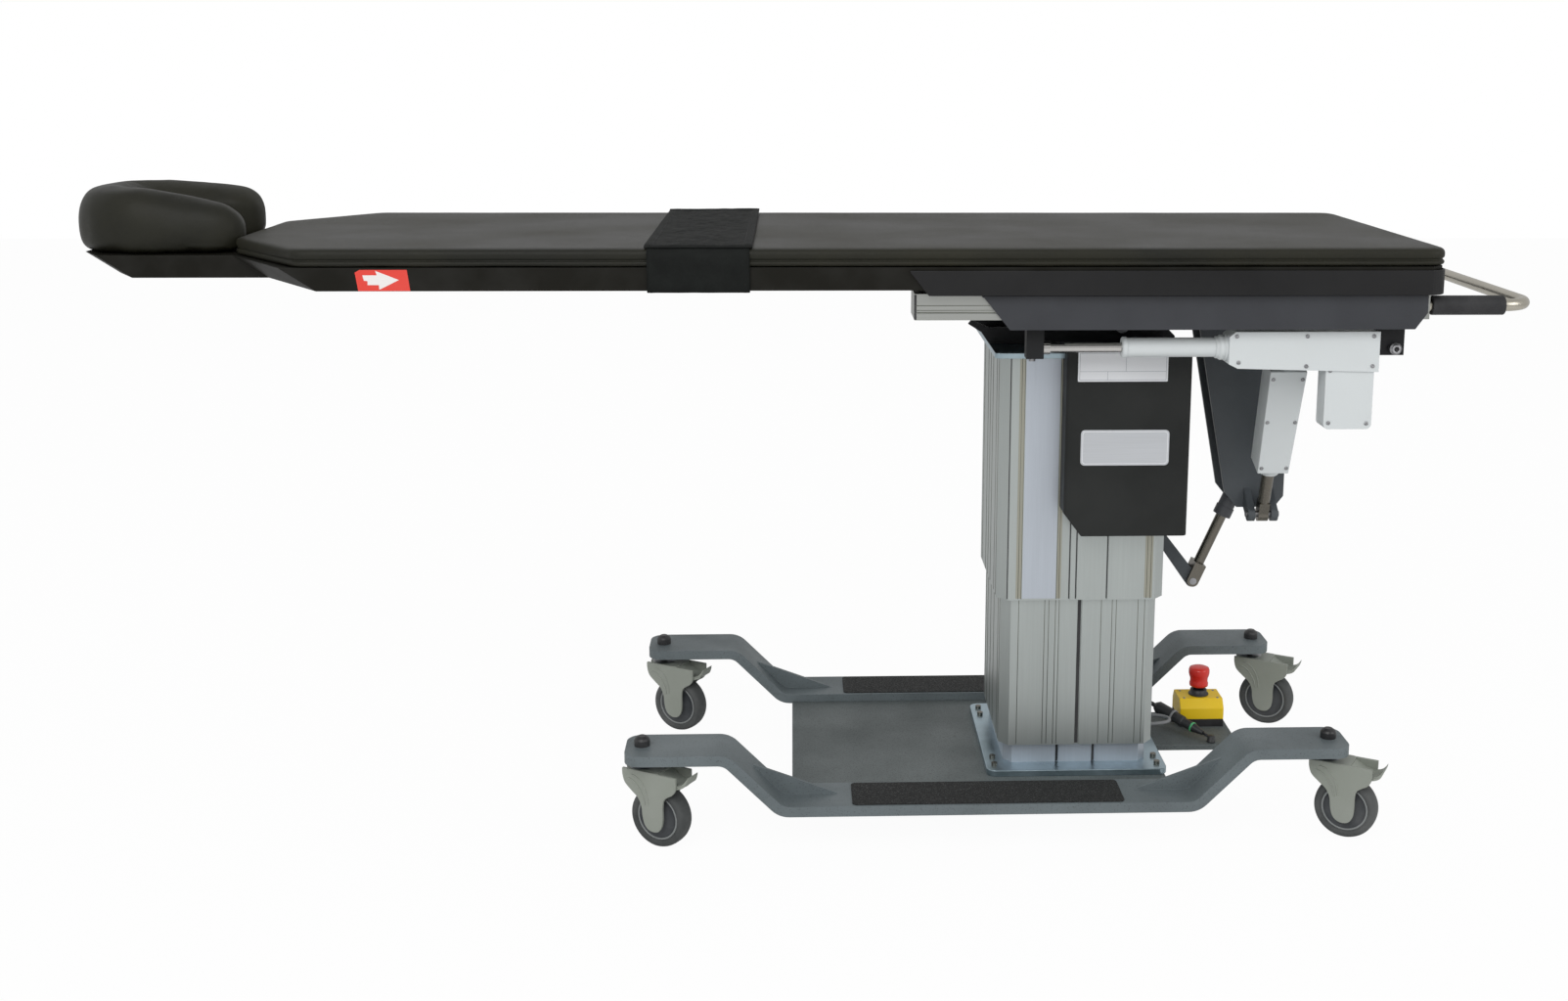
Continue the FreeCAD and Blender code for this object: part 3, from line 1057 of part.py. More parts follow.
def emergency_stop():
    base = new_body("stop_base")
    base_top = D.deck_top + D.stop_base
    left = D.stop_x - D.stop_half_x
    right = D.stop_x + D.stop_half_x
    near = D.stop_y - D.stop_half_y
    far = D.stop_y + D.stop_half_y
    pad(base, "base", "XY", [box(left, near, right, far)], D.deck_top, base_top)
    collar = new_body("stop_collar")
    bore = circle(D.stop_x, D.stop_y, D.stop_stem_r + D.running_gap)
    pad(collar, "collar", "XY", [circle(D.stop_x, D.stop_y, D.stop_collar_r), bore],
        D.stop_cover_top, D.stop_collar_top)
    group("estop_base", [base, collar])
    cover = new_body("estop_cover")
    slope = D.stop_slope
    shell = [(near, base_top), (far, base_top), (far, D.stop_cover_top - slope),
             (far - slope * 0.6, D.stop_cover_top), (near + slope * 0.8, D.stop_cover_top),
             (near, D.stop_cover_top - slope)]
    pad(cover, "shell", "YZ", [shell], left, right)
    pocket(cover, "stem_bore", "XY", [bore], base_top + 4, D.stop_cover_top)
    keep(cover, "estop_cover")
    button = new_body("estop_button")
    dome = D.stop_button_top
    radius = D.stop_button_r
    stem_low = base_top + 12
    revolve(button, "mushroom", [(0, stem_low), (D.stop_stem_r, stem_low), (D.stop_stem_r, D.stop_button_low),
                                 (radius * 0.9, D.stop_button_low), (radius, dome - 12), (radius, dome - 7),
                                 (radius * 0.8, dome - 1.5), (0, dome)])
    place(button, D.stop_x, D.stop_y)
    keep(button, "estop_button")


def tube_along(name, points, radius):
    """A cord: straight runs joined by tangent arcs as large as the runs allow."""
    edges = []
    start = points[0]
    for before, corner, after in zip(points, points[1:], points[2:]):
        into = (corner - before).normalize()
        out = (after - corner).normalize()
        half_turn = into.getAngle(out) / 2
        trim = 0.45 * min((corner - before).Length, (after - corner).Length)
        arc_in = corner - into * trim
        arc_out = corner + out * trim
        arc_radius = trim / math.tan(half_turn)
        inward = (out - into).normalize()
        middle = corner + inward * (arc_radius / math.cos(half_turn) - arc_radius)
        print(f"{name} bend radius {arc_radius:.1f}")
        edges.append(Part.LineSegment(start, arc_in).toShape())
        edges.append(Part.Arc(arc_in, middle, arc_out).toShape())
        start = arc_out
    edges.append(Part.LineSegment(start, points[-1]).toShape())
    path = Part.Wire(edges)
    heading = (points[1] - points[0]).normalize()
    section = Part.Wire([Part.Circle(points[0], heading, radius).toShape()])
    solid = path.makePipeShell([section], True, True)
    expected = math.pi * radius ** 2 * path.Length
    print(f"{name} volume {solid.Volume:.0f} of {expected:.0f}")
    item = DOC.addObject("Part::Feature", name)
    item.Shape = solid
    return item


def leads():
    """A boot and connector on the tongue, its short tail, and a looped lead at the column foot."""
    face = SIZES["column_x"] + SIZES["outer_half_x"] - 2 * SIZES["stage_step_x"]
    gland_end = face + SIZES["gland_long"]
    boot = Vector(SIZES["boot_x"], SIZES["boot_y"], SIZES["boot_z"])
    nose = Vector(SIZES["nose_x"], SIZES["nose_y"], SIZES["nose_z"])
    heading = (nose - boot).normalize()
    last_bend = boot - heading * SIZES["boot_straight"]
    first_bend = last_bend - (heading + ALONG_X).normalize() * SIZES["boot_turn"]
    boot_gland = Vector(gland_end, first_bend.y, first_bend.z)
    loop_out = Vector(gland_end, SIZES["loop_far_y"], SIZES["loop_z"])
    loop_back = Vector(gland_end, SIZES["loop_near_y"], SIZES["loop_z"])
    glands = [cylinder("lead_gland", D.gland_r, D.gland_long, face, spot.y, spot.z, ALONG_X)
              for spot in (boot_gland, loop_out, loop_back)]
    group("lead_glands", glands)
    connector = new_body("lead_connector")
    long = (nose - boot).Length
    radius = D.connector_r
    steps = [(0.7, 0), (1.15, 0.06), (1.15, 0.37), (1, 0.39), (1, 0.58), (0.85, 0.6), (0.85, 0.8),
             (0.5, 0.96), (0.4, 1)]
    outline = [(0, 0)] + [(radius * wide, long * share) for wide, share in steps] + [(0, long)]
    revolve(connector, "connector", outline)
    place(connector, boot.x, boot.y, boot.z, Rotation(Vector(0, 0, 1), heading))
    keep(connector, "lead_connector")
    lead = tube_along("boot_lead", [boot_gland, first_bend, last_bend, boot], SIZES["lead_r"])
    tail_long = SIZES["tail_long"]
    tail = cylinder("tail_lead", D.tail_r, tail_long, nose.x, nose.y, nose.z, heading)
    tail_bore = cylinder("tail_bore", D.tail_r + D.running_gap, tail_long, nose.x, nose.y, nose.z, heading)
    grommet_spot = nose + heading * (tail_long + 1)
    grommet_block = cylinder("grommet_block", D.gland_r, grommet_spot.z + 4 - SIZES["deck_top"],
                             grommet_spot.x, grommet_spot.y, D.deck_top)
    grommet = DOC.addObject("Part::Cut", "tail_grommet")
    grommet.Base = grommet_block
    grommet.Tool = tail_bore
    group("lead_cable", [lead, tail, grommet])
    reach = Vector(SIZES["loop_reach"], 0, 0)
    loop = tube_along("loop_lead", [loop_out, loop_out + reach, loop_back + reach, loop_back], SIZES["loop_r"])
    keep(loop, "loop_lead")


# ---------------------------------------------------------------- the whole table

def build():
    group("base_rails", [base_rail(-1), base_rail(1)])
    base_deck()
    tread_pads()
    caster_bolts()
    for spot, x, y in caster_spots():
        caster_fork(spot, x, y)
        caster_wheel(spot, x, y)
        caster_pedal(spot, x, y)
    column_foot()
    column_profile("column_middle", 1, D.middle_bottom, D.middle_top, [(0, D.middle_slot_wide, D.slot_deep)])
    column_profile("column_outer", 0, D.outer_bottom, D.outer_top,
                   [(offset, D.groove_wide, D.groove_deep)
                    for offset in (D.groove_edge - D.outer_half_x, -D.groove_left,
                                   D.groove_pair - D.groove_left, D.groove_right)])
    column_plate()
    column_head()
    control_box()
    ram_arm()
    tilt_ram()
    tilt_frame()
    v_bracket()
    roll_ram()
    roll_frame()
    bearing_blocks()
    slide_anchor()
    side_rails()
    side_covers()
    subframe()
    table_pan()
    mattress()
    face_cushion()
    patient_strap()
    handle()
    slide_actuator()
    emergency_stop()
    leads()


def check_and_export():
    DOC.recompute()
    for item in DOC.Objects:
        if "Invalid" in item.State or "Error" in item.State:
            raise RuntimeError(f"{item.Name} failed: {item.State}")
    for item in PARTS:
        if item.Shape.isNull() or not item.Shape.isValid():
            raise RuntimeError(f"{item.Label} has no valid shape")
    os.makedirs("parts", exist_ok=True)
    for item in PARTS:
        item.Shape.exportStep(f"parts/{item.Label}.step")
        print(f"{item.Label}: {len(item.Shape.Solids)} solids, {item.Shape.Volume / 1000:.1f} cm3")
    print(f"{len(PARTS)} nodes")


build()
check_and_export()
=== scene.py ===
# %% [markdown]
# # A radiography table, dressed piece by piece
# The table stands on four casters. A telescopic column lifts a frame that tilts and rolls, and a long
# padded top slides on that frame. The engineering model gives every rigid part its exact shape, so this
# lesson starts by loading it. What is left to do is the looks: finishes, upholstery, wheels and small trim.

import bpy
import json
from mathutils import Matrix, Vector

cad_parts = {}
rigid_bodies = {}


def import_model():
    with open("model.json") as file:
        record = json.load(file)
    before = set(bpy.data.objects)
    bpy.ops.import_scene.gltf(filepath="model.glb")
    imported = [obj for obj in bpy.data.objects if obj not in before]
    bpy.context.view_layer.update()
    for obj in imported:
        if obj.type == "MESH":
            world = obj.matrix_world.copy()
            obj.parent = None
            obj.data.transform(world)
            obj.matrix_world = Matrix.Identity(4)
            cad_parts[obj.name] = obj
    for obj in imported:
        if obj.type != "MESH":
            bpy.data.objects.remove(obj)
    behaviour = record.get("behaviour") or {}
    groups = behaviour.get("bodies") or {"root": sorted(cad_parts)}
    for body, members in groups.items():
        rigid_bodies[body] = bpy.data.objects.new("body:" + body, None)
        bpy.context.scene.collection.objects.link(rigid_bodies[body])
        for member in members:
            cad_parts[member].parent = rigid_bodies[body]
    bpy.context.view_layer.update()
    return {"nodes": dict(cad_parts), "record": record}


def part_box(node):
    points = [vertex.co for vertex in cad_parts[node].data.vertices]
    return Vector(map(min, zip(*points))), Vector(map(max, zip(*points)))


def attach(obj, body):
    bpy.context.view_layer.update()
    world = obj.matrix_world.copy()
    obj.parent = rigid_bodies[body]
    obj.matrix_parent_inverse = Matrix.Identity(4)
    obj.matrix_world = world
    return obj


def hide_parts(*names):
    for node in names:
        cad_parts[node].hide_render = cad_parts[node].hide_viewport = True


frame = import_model()

import json
import math
import random

import bmesh
import bpy
from mathutils import Matrix, Vector, noise
from mathutils.bvhtree import BVHTree

MM = 0.001
SIDES = (-1, 1)
UP, DOWN = Vector((0, 0, 1)), Vector((0, 0, -1))
nodes = frame["nodes"]


def placed(name, data):
    """An object in the scene that shows this mesh, curve, camera or light."""
    made = bpy.data.objects.new(name, data)
    bpy.context.scene.collection.objects.link(made)
    return made


# %% [markdown]
# ## Camera
# A camera is a point and three directions: right, up and forward. Blender's camera looks along its own
# minus Z, so the third column of its matrix is the forward direction turned round. The lens is given in
# millimetres against a 36 mm wide sensor, and a small shift moves the frame without turning the view.

# %% Place the camera
camera_place = Vector((-0.020, -2.944, 1.2484))
camera_right = Vector((0.99919744, -0.03988042, 0.00374417))
camera_up = Vector((0.00378075, 0.18695484, 0.98236123))
camera_forward = Vector((0.03987697, 0.98155868, -0.18695558))

camera_data = bpy.data.cameras.new("view_camera")
camera_data.sensor_width = 36.0
camera_data.lens = 41.03
camera_data.shift_x = -0.0514
camera_data.shift_y = -0.0712
camera_data.dof.use_dof = False
camera = placed("view_camera", camera_data)
turn = Matrix((camera_right, camera_up, -camera_forward)).transposed().to_4x4()
camera.matrix_world = Matrix.Translation(camera_place) @ turn
bpy.context.scene.camera = camera

# %% [markdown]
# ## A short language for shader maths
# A finish is a small sum of noises. Wiring that sum by hand takes many lines, so one class wraps a socket
# and lets Python's own signs add the Math nodes. `2 * grain + 1` then reads as it would on paper. Colours
# and vectors are kept away from Math nodes, because those would turn a colour grey.

# %% The wire class
def sign(operation, reflected=False):
    """A method for one of Python's signs. The reflected form has the other value on its left."""
    def method(wire, other):
        values = (other, wire) if reflected else (wire, other)
        return wire.bench.node("ShaderNodeMath", {"operation": operation}, dict(enumerate(values)))
    return method


class Wire:
    """A number that a node gives, with Python's signs for Math nodes."""

    def __init__(self, bench, socket):
        self.bench, self.socket = bench, socket

    __add__ = sign("ADD")
    __radd__ = sign("ADD", reflected=True)
    __sub__ = sign("SUBTRACT")
    __rsub__ = sign("SUBTRACT", reflected=True)
    __mul__ = sign("MULTIPLY")
    __rmul__ = sign("MULTIPLY", reflected=True)
    __gt__ = sign("GREATER_THAN")

    def within(self, low, high):
        """0 below low, 1 above high, and straight between."""
        return self.bench.node("ShaderNodeMapRange", {}, {"Value": self, "From Min": low, "From Max": high})


# %% [markdown]
# ## Bench and finish
# A bench adds nodes to a tree, sets them and plugs in values or wires. A finish is a bench for one
# material. Colours are written as they look on a screen, 0 to 255, and turned into the linear numbers that
# a shader wants.

# %% The bench and finish classes
finishes = {}


def tint(red, green, blue):
    """A screen colour as a linear colour."""
    def linear(channel):
        share = channel / 255
        return share / 12.92 if share <= 0.04045 else ((share + 0.055) / 1.055) ** 2.4
    return (linear(red), linear(green), linear(blue), 1.0)


def scaled(colour, factor, lift=0.0):
    """A linear colour made darker or paler."""
    return tuple(min(1, channel * factor + lift) for channel in colour[:3]) + (1,)


class Bench:
    """A node tree in the making."""

    def __init__(self, tree):
        self.tree = tree

    def node(self, kind, settings, inputs, output=0):
        made = self.tree.nodes.new(kind)
        for key, value in settings.items():
            setattr(made, key, value)
        for key, value in inputs.items():
            self.plug(made.inputs[key], value)
        return Wire(self, made.outputs[output])

    def plug(self, socket, value):
        if isinstance(value, Wire):
            self.tree.links.new(value.socket, socket)
        else:
            socket.default_value = value


class Finish(Bench):
    """A material in the making: one shader, and nodes that feed it."""

    def __init__(self, name, **fixed):
        self.material = bpy.data.materials.new(name)
        self.material.use_nodes = True
        finishes[name] = self.material
        super().__init__(self.material.node_tree)
        self.shader = self.tree.nodes["Principled BSDF"]
        self.place = self.node("ShaderNodeTexCoord", {}, {}, "Object")
        self.set(**fixed)

    def set(self, **values):
        """Sets the shader's sockets: Base_Color stands for Base Color."""
        for key, value in values.items():
            self.plug(self.shader.inputs[key.replace("_", " ").title().replace("Ior", "IOR")], value)

    def grain(self, per_metre, stretch=(1, 1, 1), detail=3.0, rough=0.5):
        """Soft noise with that many lumps in a metre, drawn out along an axis by a low stretch."""
        spot = self.node("ShaderNodeMapping", {}, {"Vector": self.place, "Scale": stretch})
        looks = {"Vector": spot, "Scale": per_metre, "Detail": detail, "Roughness": rough}
        return self.node("ShaderNodeTexNoise", {}, looks)

    def pebbles(self, per_metre, feature="F1", output="Distance"):
        """Cells with that many in a metre."""
        looks = {"Vector": self.place, "Scale": per_metre}
        return self.node("ShaderNodeTexVoronoi", {"feature": feature}, looks, output)

    def lit_pebbles(self, per_metre, share):
        """1 on that share of the cells, picked by their random colour, and 0 on the others."""
        specks = self.pebbles(per_metre, output="Color")
        return self.node("ShaderNodeSeparateColor", {}, {0: specks}) > (1 - share)

    def blend(self, share, first, second):
        return self.node("ShaderNodeMix", {"data_type": "RGBA"}, {0: share, 6: first, 7: second}, 2)

    def relief(self, height, depth_mm):
        """Bump from a height of 0 to 1 that stands for that many millimetres."""
        bump = {"Strength": 1.0, "Distance": depth_mm * MM, "Height": height}
        self.set(Normal=self.node("ShaderNodeBump", {}, bump))


# %% [markdown]
# ## Painted metal
# Powder coat is sprayed as dust and baked. It flows a little, so it has a skin like orange peel, about a
# millimetre from bump to bump. The same maker paints every steel part here, in greys and blacks, so one
# function makes them all and only the colour, the skin and the gloss change. Handled edges and flat tops
# gather dust, which a broad, weak noise stands for. The rails and the deck also have dark flecks.

# %% Powder coats
def powder_coat(name, colour, skin_mm, gloss=0.42, fleck=0.0, shine=0.45):
    coat = Finish(name, Specular_Ior_Level=shine)
    peel = coat.grain(620, detail=2.0)
    cloud = coat.grain(7, detail=4.0).within(0.35, 0.7)
    colour = tint(*colour)
    body = coat.blend(cloud, scaled(colour, 0.86), scaled(colour, 1.14, 0.004))
    if fleck:
        body = coat.blend(coat.lit_pebbles(900, fleck) * 0.5, body, tint(40, 40, 42))
    coat.set(Base_Color=body, Roughness=(gloss + 0.10) - 0.14 * cloud + 0.08 * peel)
    coat.relief(peel, skin_mm)


powder_coat("rail_paint", (102, 111, 114), 0.20, fleck=0.05)
powder_coat("deck_paint", (94, 101, 101), 0.26, 0.5, fleck=0.16)
powder_coat("black_paint", (22, 23, 25), 0.12, shine=0.28)
powder_coat("dark_grey_paint", (48, 50, 55), 0.16)
powder_coat("bracket_paint", (68, 73, 77), 0.16)
powder_coat("box_black", (27, 29, 28), 0.10, 0.46, shine=0.28)
powder_coat("tray_paint", (24, 24, 25), 0.12, 0.38, shine=0.25)
powder_coat("ram_dark", (70, 72, 76), 0.10)

# %% [markdown]
# ## Bare and plated metal
# Extruded aluminium carries the marks of its die as fine lines along its length, so its noise is drawn
# out along one axis. Ground rod and brushed tube have finer lines and a closer shine. Zinc plate has no
# direction: it is mottled, cool and slightly green, with short scratches.

# %% Metals
def drawn_metal(name, colour, along, gloss, lines_mm=0.02, metal=1.0, per_metre=420):
    """Metal with lines along one axis: 'x', 'y' or 'z'."""
    drawn = Finish(name, Metallic=metal)
    lines = drawn.grain(per_metre, tuple(0.02 if axis == along else 1.0 for axis in "xyz"), detail=4.0)
    broad = drawn.grain(9, tuple(0.12 if axis == along else 1.0 for axis in "xyz"))
    colour = tint(*colour)
    mix = lines.within(0.3, 0.7) * 0.35 + broad.within(0.3, 0.7) * 0.65
    drawn.set(Base_Color=drawn.blend(mix, scaled(colour, 0.84), colour),
              Roughness=gloss + 0.10 * lines + 0.06 * broad)
    drawn.relief(lines, lines_mm)


def plated_metal(name, colour, shade, gloss):
    plate = Finish(name, Metallic=1.0)
    cloud = plate.grain(22, detail=5.0, rough=0.6).within(0.32, 0.68)
    scratch = plate.grain(260, (0.06, 1, 1))
    plate.set(Base_Color=plate.blend(cloud, tint(*shade), tint(*colour)),
              Roughness=gloss + 0.14 * cloud + 0.06 * scratch)
    plate.relief(scratch, 0.015)


drawn_metal("column_aluminium", (186, 192, 190), "z", 0.34, metal=0.88)
drawn_metal("rail_aluminium", (180, 182, 178), "x", 0.30)
drawn_metal("stage_pale", (197, 204, 213), "z", 0.36, metal=0.75)
drawn_metal("seam_grey", (128, 131, 122), "z", 0.4, metal=0.8)
drawn_metal("worn_steel", (118, 114, 106), "z", 0.2, 0.006, per_metre=900)
drawn_metal("steel_tube", (196, 191, 178), "x", 0.22, per_metre=700)
plated_metal("plated_steel", (180, 198, 207), (152, 170, 178), 0.24)
plated_metal("bolt_steel", (176, 176, 178), (120, 121, 124), 0.28)
drawn_metal("chromed", (205, 203, 200), "z", 0.08, 0.006, per_metre=900)

# %% [markdown]
# ## Plastics and rubbers
# Moulded plastic takes the spark-eroded texture of its mould, a fine even grain. Rubber is duller and
# gathers pale dust. Both are one function: a colour, a grain size in lumps to the metre, and a gloss.

# %% Plastics
def moulding(name, colour, per_metre, depth_mm, gloss, dust=0.10, **fixed):
    plastic = Finish(name, **fixed)
    grain = plastic.pebbles(per_metre)
    cloud = plastic.grain(14, detail=4.0).within(0.4, 0.75)
    colour = tint(*colour)
    plastic.set(Base_Color=plastic.blend(cloud, colour, scaled(colour, 1 - dust, 0.5 * dust)),
                Roughness=gloss + 0.12 * cloud + 0.06 * grain)
    plastic.relief(grain, depth_mm)


moulding("actuator_grey", (206, 211, 212), 1300, 0.05, 0.38)
moulding("caster_grey", (142, 147, 138), 900, 0.06, 0.42, 0.12)
moulding("tyre_grey", (60, 63, 63), 1100, 0.06, 0.62, 0.16)
moulding("wheel_core", (54, 58, 62), 1100, 0.05, 0.48, 0.14)
moulding("wheel_ring", (134, 138, 138), 1200, 0.04, 0.40)
moulding("black_cap", (36, 36, 38), 1400, 0.05, 0.36, 0.06)
moulding("grip_foam", (26, 26, 29), 1000, 0.10, 0.60, 0.07)
moulding("stop_yellow", (238, 200, 24), 1500, 0.03, 0.30, 0.03)
moulding("stop_red", (214, 44, 34), 1500, 0.02, 0.24, 0.03)
moulding("stop_black", (34, 34, 36), 1400, 0.04, 0.36, 0.06)
moulding("lead_black", (34, 35, 37), 1200, 0.04, 0.40)
moulding("lead_grey", (128, 130, 132), 1200, 0.04, 0.46)
moulding("mark_green", (70, 170, 110), 1200, 0.02, 0.40, 0.05)
moulding("pan_black", (22, 21, 16), 800, 0.03, 0.46, 0.02, Specular_Ior_Level=0.13)
moulding("plate_white", (226, 228, 231), 1800, 0.01, 0.26, 0.02)
moulding("plate_line", (150, 156, 164), 1800, 0.01, 0.30, 0.02)
moulding("label_red", (222, 58, 44), 1500, 0.01, 0.34, 0.04)
moulding("label_white", (232, 228, 226), 1500, 0.01, 0.36, 0.03)

# %% [markdown]
# ## Upholstery vinyl, strap and tread
# The vinyl is embossed like hide: cells about a millimetre across with soft valleys between them, which
# is what the distance to a Voronoi cell's edge gives. Its colour wanders between near black and a brown
# grey, and the valleys take the dark end as painted shade. The strap is coated cloth, woven both ways and
# full of creases. The tread strips are grit in resin.

# %% Vinyl, strap and grit
def hide_vinyl(name, colour, brown_grey_and_sheen):
    vinyl = Finish(name, Specular_Ior_Level=0.20, Coat_Weight=0.03, Coat_Roughness=0.35)
    cells = vinyl.pebbles(780, "DISTANCE_TO_EDGE").within(0.0, 0.16)
    pull = vinyl.grain(60)
    cloud = vinyl.grain(5, detail=4.0).within(0.35, 0.7)
    # The cell valleys take the dark colour as painted shade and the cell tops lean to the paler one as
    # painted sheen; the broad cloud varies the tone at random.
    vinyl.set(Base_Color=vinyl.blend(cloud * 0.7 + 0.3 * cells, tint(*colour), tint(*brown_grey_and_sheen)),
              Roughness=0.44 + 0.10 * cloud - 0.06 * cells)
    vinyl.relief(cells * 0.5 + pull, 0.22)


def strap_cloth(name, colour):
    strap = Finish(name, Specular_Ior_Level=0.14)
    weave = {"Vector": strap.place, "Scale": 130.0, "Distortion": 0.4}
    along, across = (strap.node("ShaderNodeTexWave", {"wave_type": "BANDS", "bands_direction": way}, weave,
                                "Fac") for way in "XY")
    crease = strap.grain(34, (1, 0.5, 1), detail=5.0, rough=0.6)
    colour = tint(*colour)
    # The crease ridges take the paler colour and the folds between them the darker one: painted highlight and
    # painted shade that follow the creases.
    strap.set(Base_Color=strap.blend(crease.within(0.35, 0.75), colour, scaled(colour, 1.9)),
              Roughness=0.60 + 0.2 * crease)
    strap.relief(along * across * 0.3 + crease * 2.6, 0.8)


def grit(name):
    tread = Finish(name)
    stones = tread.pebbles(900)
    lit = tread.lit_pebbles(900, 0.20)
    tread.set(Base_Color=tread.blend(lit, tint(26, 27, 27), tint(52, 53, 52)), Roughness=0.85 - 0.25 * lit)
    tread.relief(1 - stones, 0.35)


hide_vinyl("vinyl", (23, 24, 20), (42, 41, 30))
strap_cloth("webbing", (17, 19, 18))
grit("tread")
print("finishes", len(finishes))

# %% [markdown]
# ## Dress the engineering parts
# The rigid parts are right as they are, so each only takes a finish. The model's record names a finish
# for every part, and nearly all of them are used as named. A part that this lesson remakes later keeps
# its finish until then.

# %% Hand out the finishes
slots = {part["node"]: part["material_slot"] for part in frame["record"]["subparts"]}
special = {"v_bracket": "bracket_paint", "ram_arm": "bracket_paint", "subframe": "tray_paint",
           "column_inner": "stage_pale", "flange_screws": "worn_steel", "tilt_ram_rod": "worn_steel",
           "roll_ram_rod": "worn_steel"}
finish_names = slots | special

for node, part in nodes.items():
    part.data.materials.clear()
    part.data.materials.append(finishes[finish_names[node]])
print("dressed", len(nodes), "parts")

# %% [markdown]
# ## Small helpers for pieces
# Every piece is a mesh whose object stays at the origin, so its vertices hold its place in metres. One
# function makes the object, gives it a finish, and notes what it rides on and what it stands for. Rows of
# points become a skin of quads. A modifier is worked out at once, and only its result is kept.

# %% Make a piece
def noted(piece, body, slot, stands_for=()):
    piece["body"], piece["slot"], piece["stands_for"] = body, slot, list(stands_for)
    return piece


def piece_of(name, mesh, finish, body, slot, stands_for=(), smooth=True):
    mesh.name = name
    for material in finish if isinstance(finish, (list, tuple)) else [finish]:
        mesh.materials.append(finishes[material])
    for polygon in mesh.polygons:
        polygon.use_smooth = smooth
    print(name, "on", body, len(mesh.polygons), "faces")
    return noted(placed(name, mesh), body, slot, stands_for)


def mesh_from(points, faces):
    """A mesh from points in millimetres."""
    mesh = bpy.data.meshes.new("draft")
    mesh.from_pydata([Vector(point) * MM for point in points], [], faces)
    mesh.update()
    return mesh


def skin(rows):
    """Quads between each closed row of point numbers and the next."""
    faces = []
    for row, above in zip(rows, rows[1:]):
        for index in range(len(row)):
            after = (index + 1) % len(row)
            faces.append((row[index], above[index], above[after], row[after]))
    return faces


def worked_out(piece):
    """The mesh that a piece's modifiers give."""
    return bpy.data.meshes.new_from_object(piece.evaluated_get(bpy.context.evaluated_depsgraph_get()))


def with_modifier(piece, kind, **settings):
    """Adds a modifier, works it out and keeps only its result."""
    modifier = piece.modifiers.new(kind.lower(), kind)
    for key, value in settings.items():
        setattr(modifier, key, value)
    shaped = worked_out(piece)
    piece.modifiers.clear()
    old = piece.data
    piece.data = shaped
    shaped.name = old.name
    bpy.data.meshes.remove(old)
    return piece


# %% [markdown]
# ## Turned pieces
# Wheels, buttons and collars are turned on a lathe: a profile of radius and height goes round an axis. A
# ring of quads joins each profile point to the next, and a point on the axis closes the end with a fan.

# %% The lathe
def turned(profile, steps, centre, axis, marks=()):
    """Turns a profile of (radius, height) in millimetres about an axis. marks gives each band's finish."""
    up = Vector(axis).normalized()
    side = up.orthogonal().normalized()
    ahead = up.cross(side)
    centre = Vector(centre)
    points, faces, rows, bands = [], [], [], []
    for radius, height in profile:
        count = 1 if radius == 0 else steps
        rows.append((len(points), count))
        for step in range(count):
            angle = math.tau * step / steps
            points.append(centre + up * height + (side * math.cos(angle) + ahead * math.sin(angle)) * radius)
    for band, ((low, low_count), (high, high_count)) in enumerate(zip(rows, rows[1:])):
        for step in range(steps):
            after = (step + 1) % steps
            corners = [low + step % low_count, low + after % low_count,
                       high + after % high_count, high + step % high_count]
            face = [corner for index, corner in enumerate(corners) if corner != corners[index - 1]]
            if len(face) > 2:
                faces.append(face)
                bands.append(marks[band] if marks else 0)
    mesh = mesh_from(points, faces)
    for polygon, band in zip(mesh.polygons, bands):
        polygon.material_index = band
    return mesh


# %% [markdown]
# ## Set out small parts on points
# Screws and stitches are one small shape many times over. A Geometry Nodes tree takes a cloud of points,
# each with the way the part faces and the way it lies, and puts the shape on every point. The tree ends
# by making the copies real, and the result is kept as a plain mesh.

# %% The setting-out tree
def setting_out_tree():
    tree = bpy.data.node_groups.new("set_out", "GeometryNodeTree")
    sockets = {}
    for name, way, kind in (("Geometry", "INPUT", "Geometry"), ("Shape", "INPUT", "Object"),
                            ("Size", "INPUT", "Float"), ("Finish", "INPUT", "Material"),
                            ("Geometry", "OUTPUT", "Geometry")):
        made = tree.interface.new_socket(name, in_out=way, socket_type="NodeSocket" + kind)
        sockets[name] = made.identifier
    add = tree.nodes.new
    start, end = add("NodeGroupInput"), add("NodeGroupOutput")
    shape, copies = add("GeometryNodeObjectInfo"), add("GeometryNodeInstanceOnPoints")
    facing, lying = add("GeometryNodeInputNamedAttribute"), add("GeometryNodeInputNamedAttribute")
    upright, rolled = add("FunctionNodeAlignRotationToVector"), add("FunctionNodeAlignRotationToVector")
    real, finish = add("GeometryNodeRealizeInstances"), add("GeometryNodeSetMaterial")
    for reader, attribute in ((facing, "facing"), (lying, "lying")):
        reader.data_type = "FLOAT_VECTOR"
        reader.inputs["Name"].default_value = attribute
    upright.axis, rolled.axis, rolled.pivot_axis = "Z", "X", "Z"
    for giver, output, taker, entry in (
            (start, "Geometry", copies, "Points"), (start, "Shape", shape, "Object"),
            (shape, "Geometry", copies, "Instance"), (start, "Size", copies, "Scale"),
            (facing, "Attribute", upright, "Vector"), (upright, "Rotation", rolled, "Rotation"),
            (lying, "Attribute", rolled, "Vector"), (rolled, "Rotation", copies, "Rotation"),
            (copies, "Instances", real, "Geometry"), (real, "Geometry", finish, "Geometry"),
            (start, "Finish", finish, "Material"), (finish, "Geometry", end, "Geometry")):
        tree.links.new(giver.outputs[output], taker.inputs[entry])
    return tree, sockets


set_out, sockets = setting_out_tree()


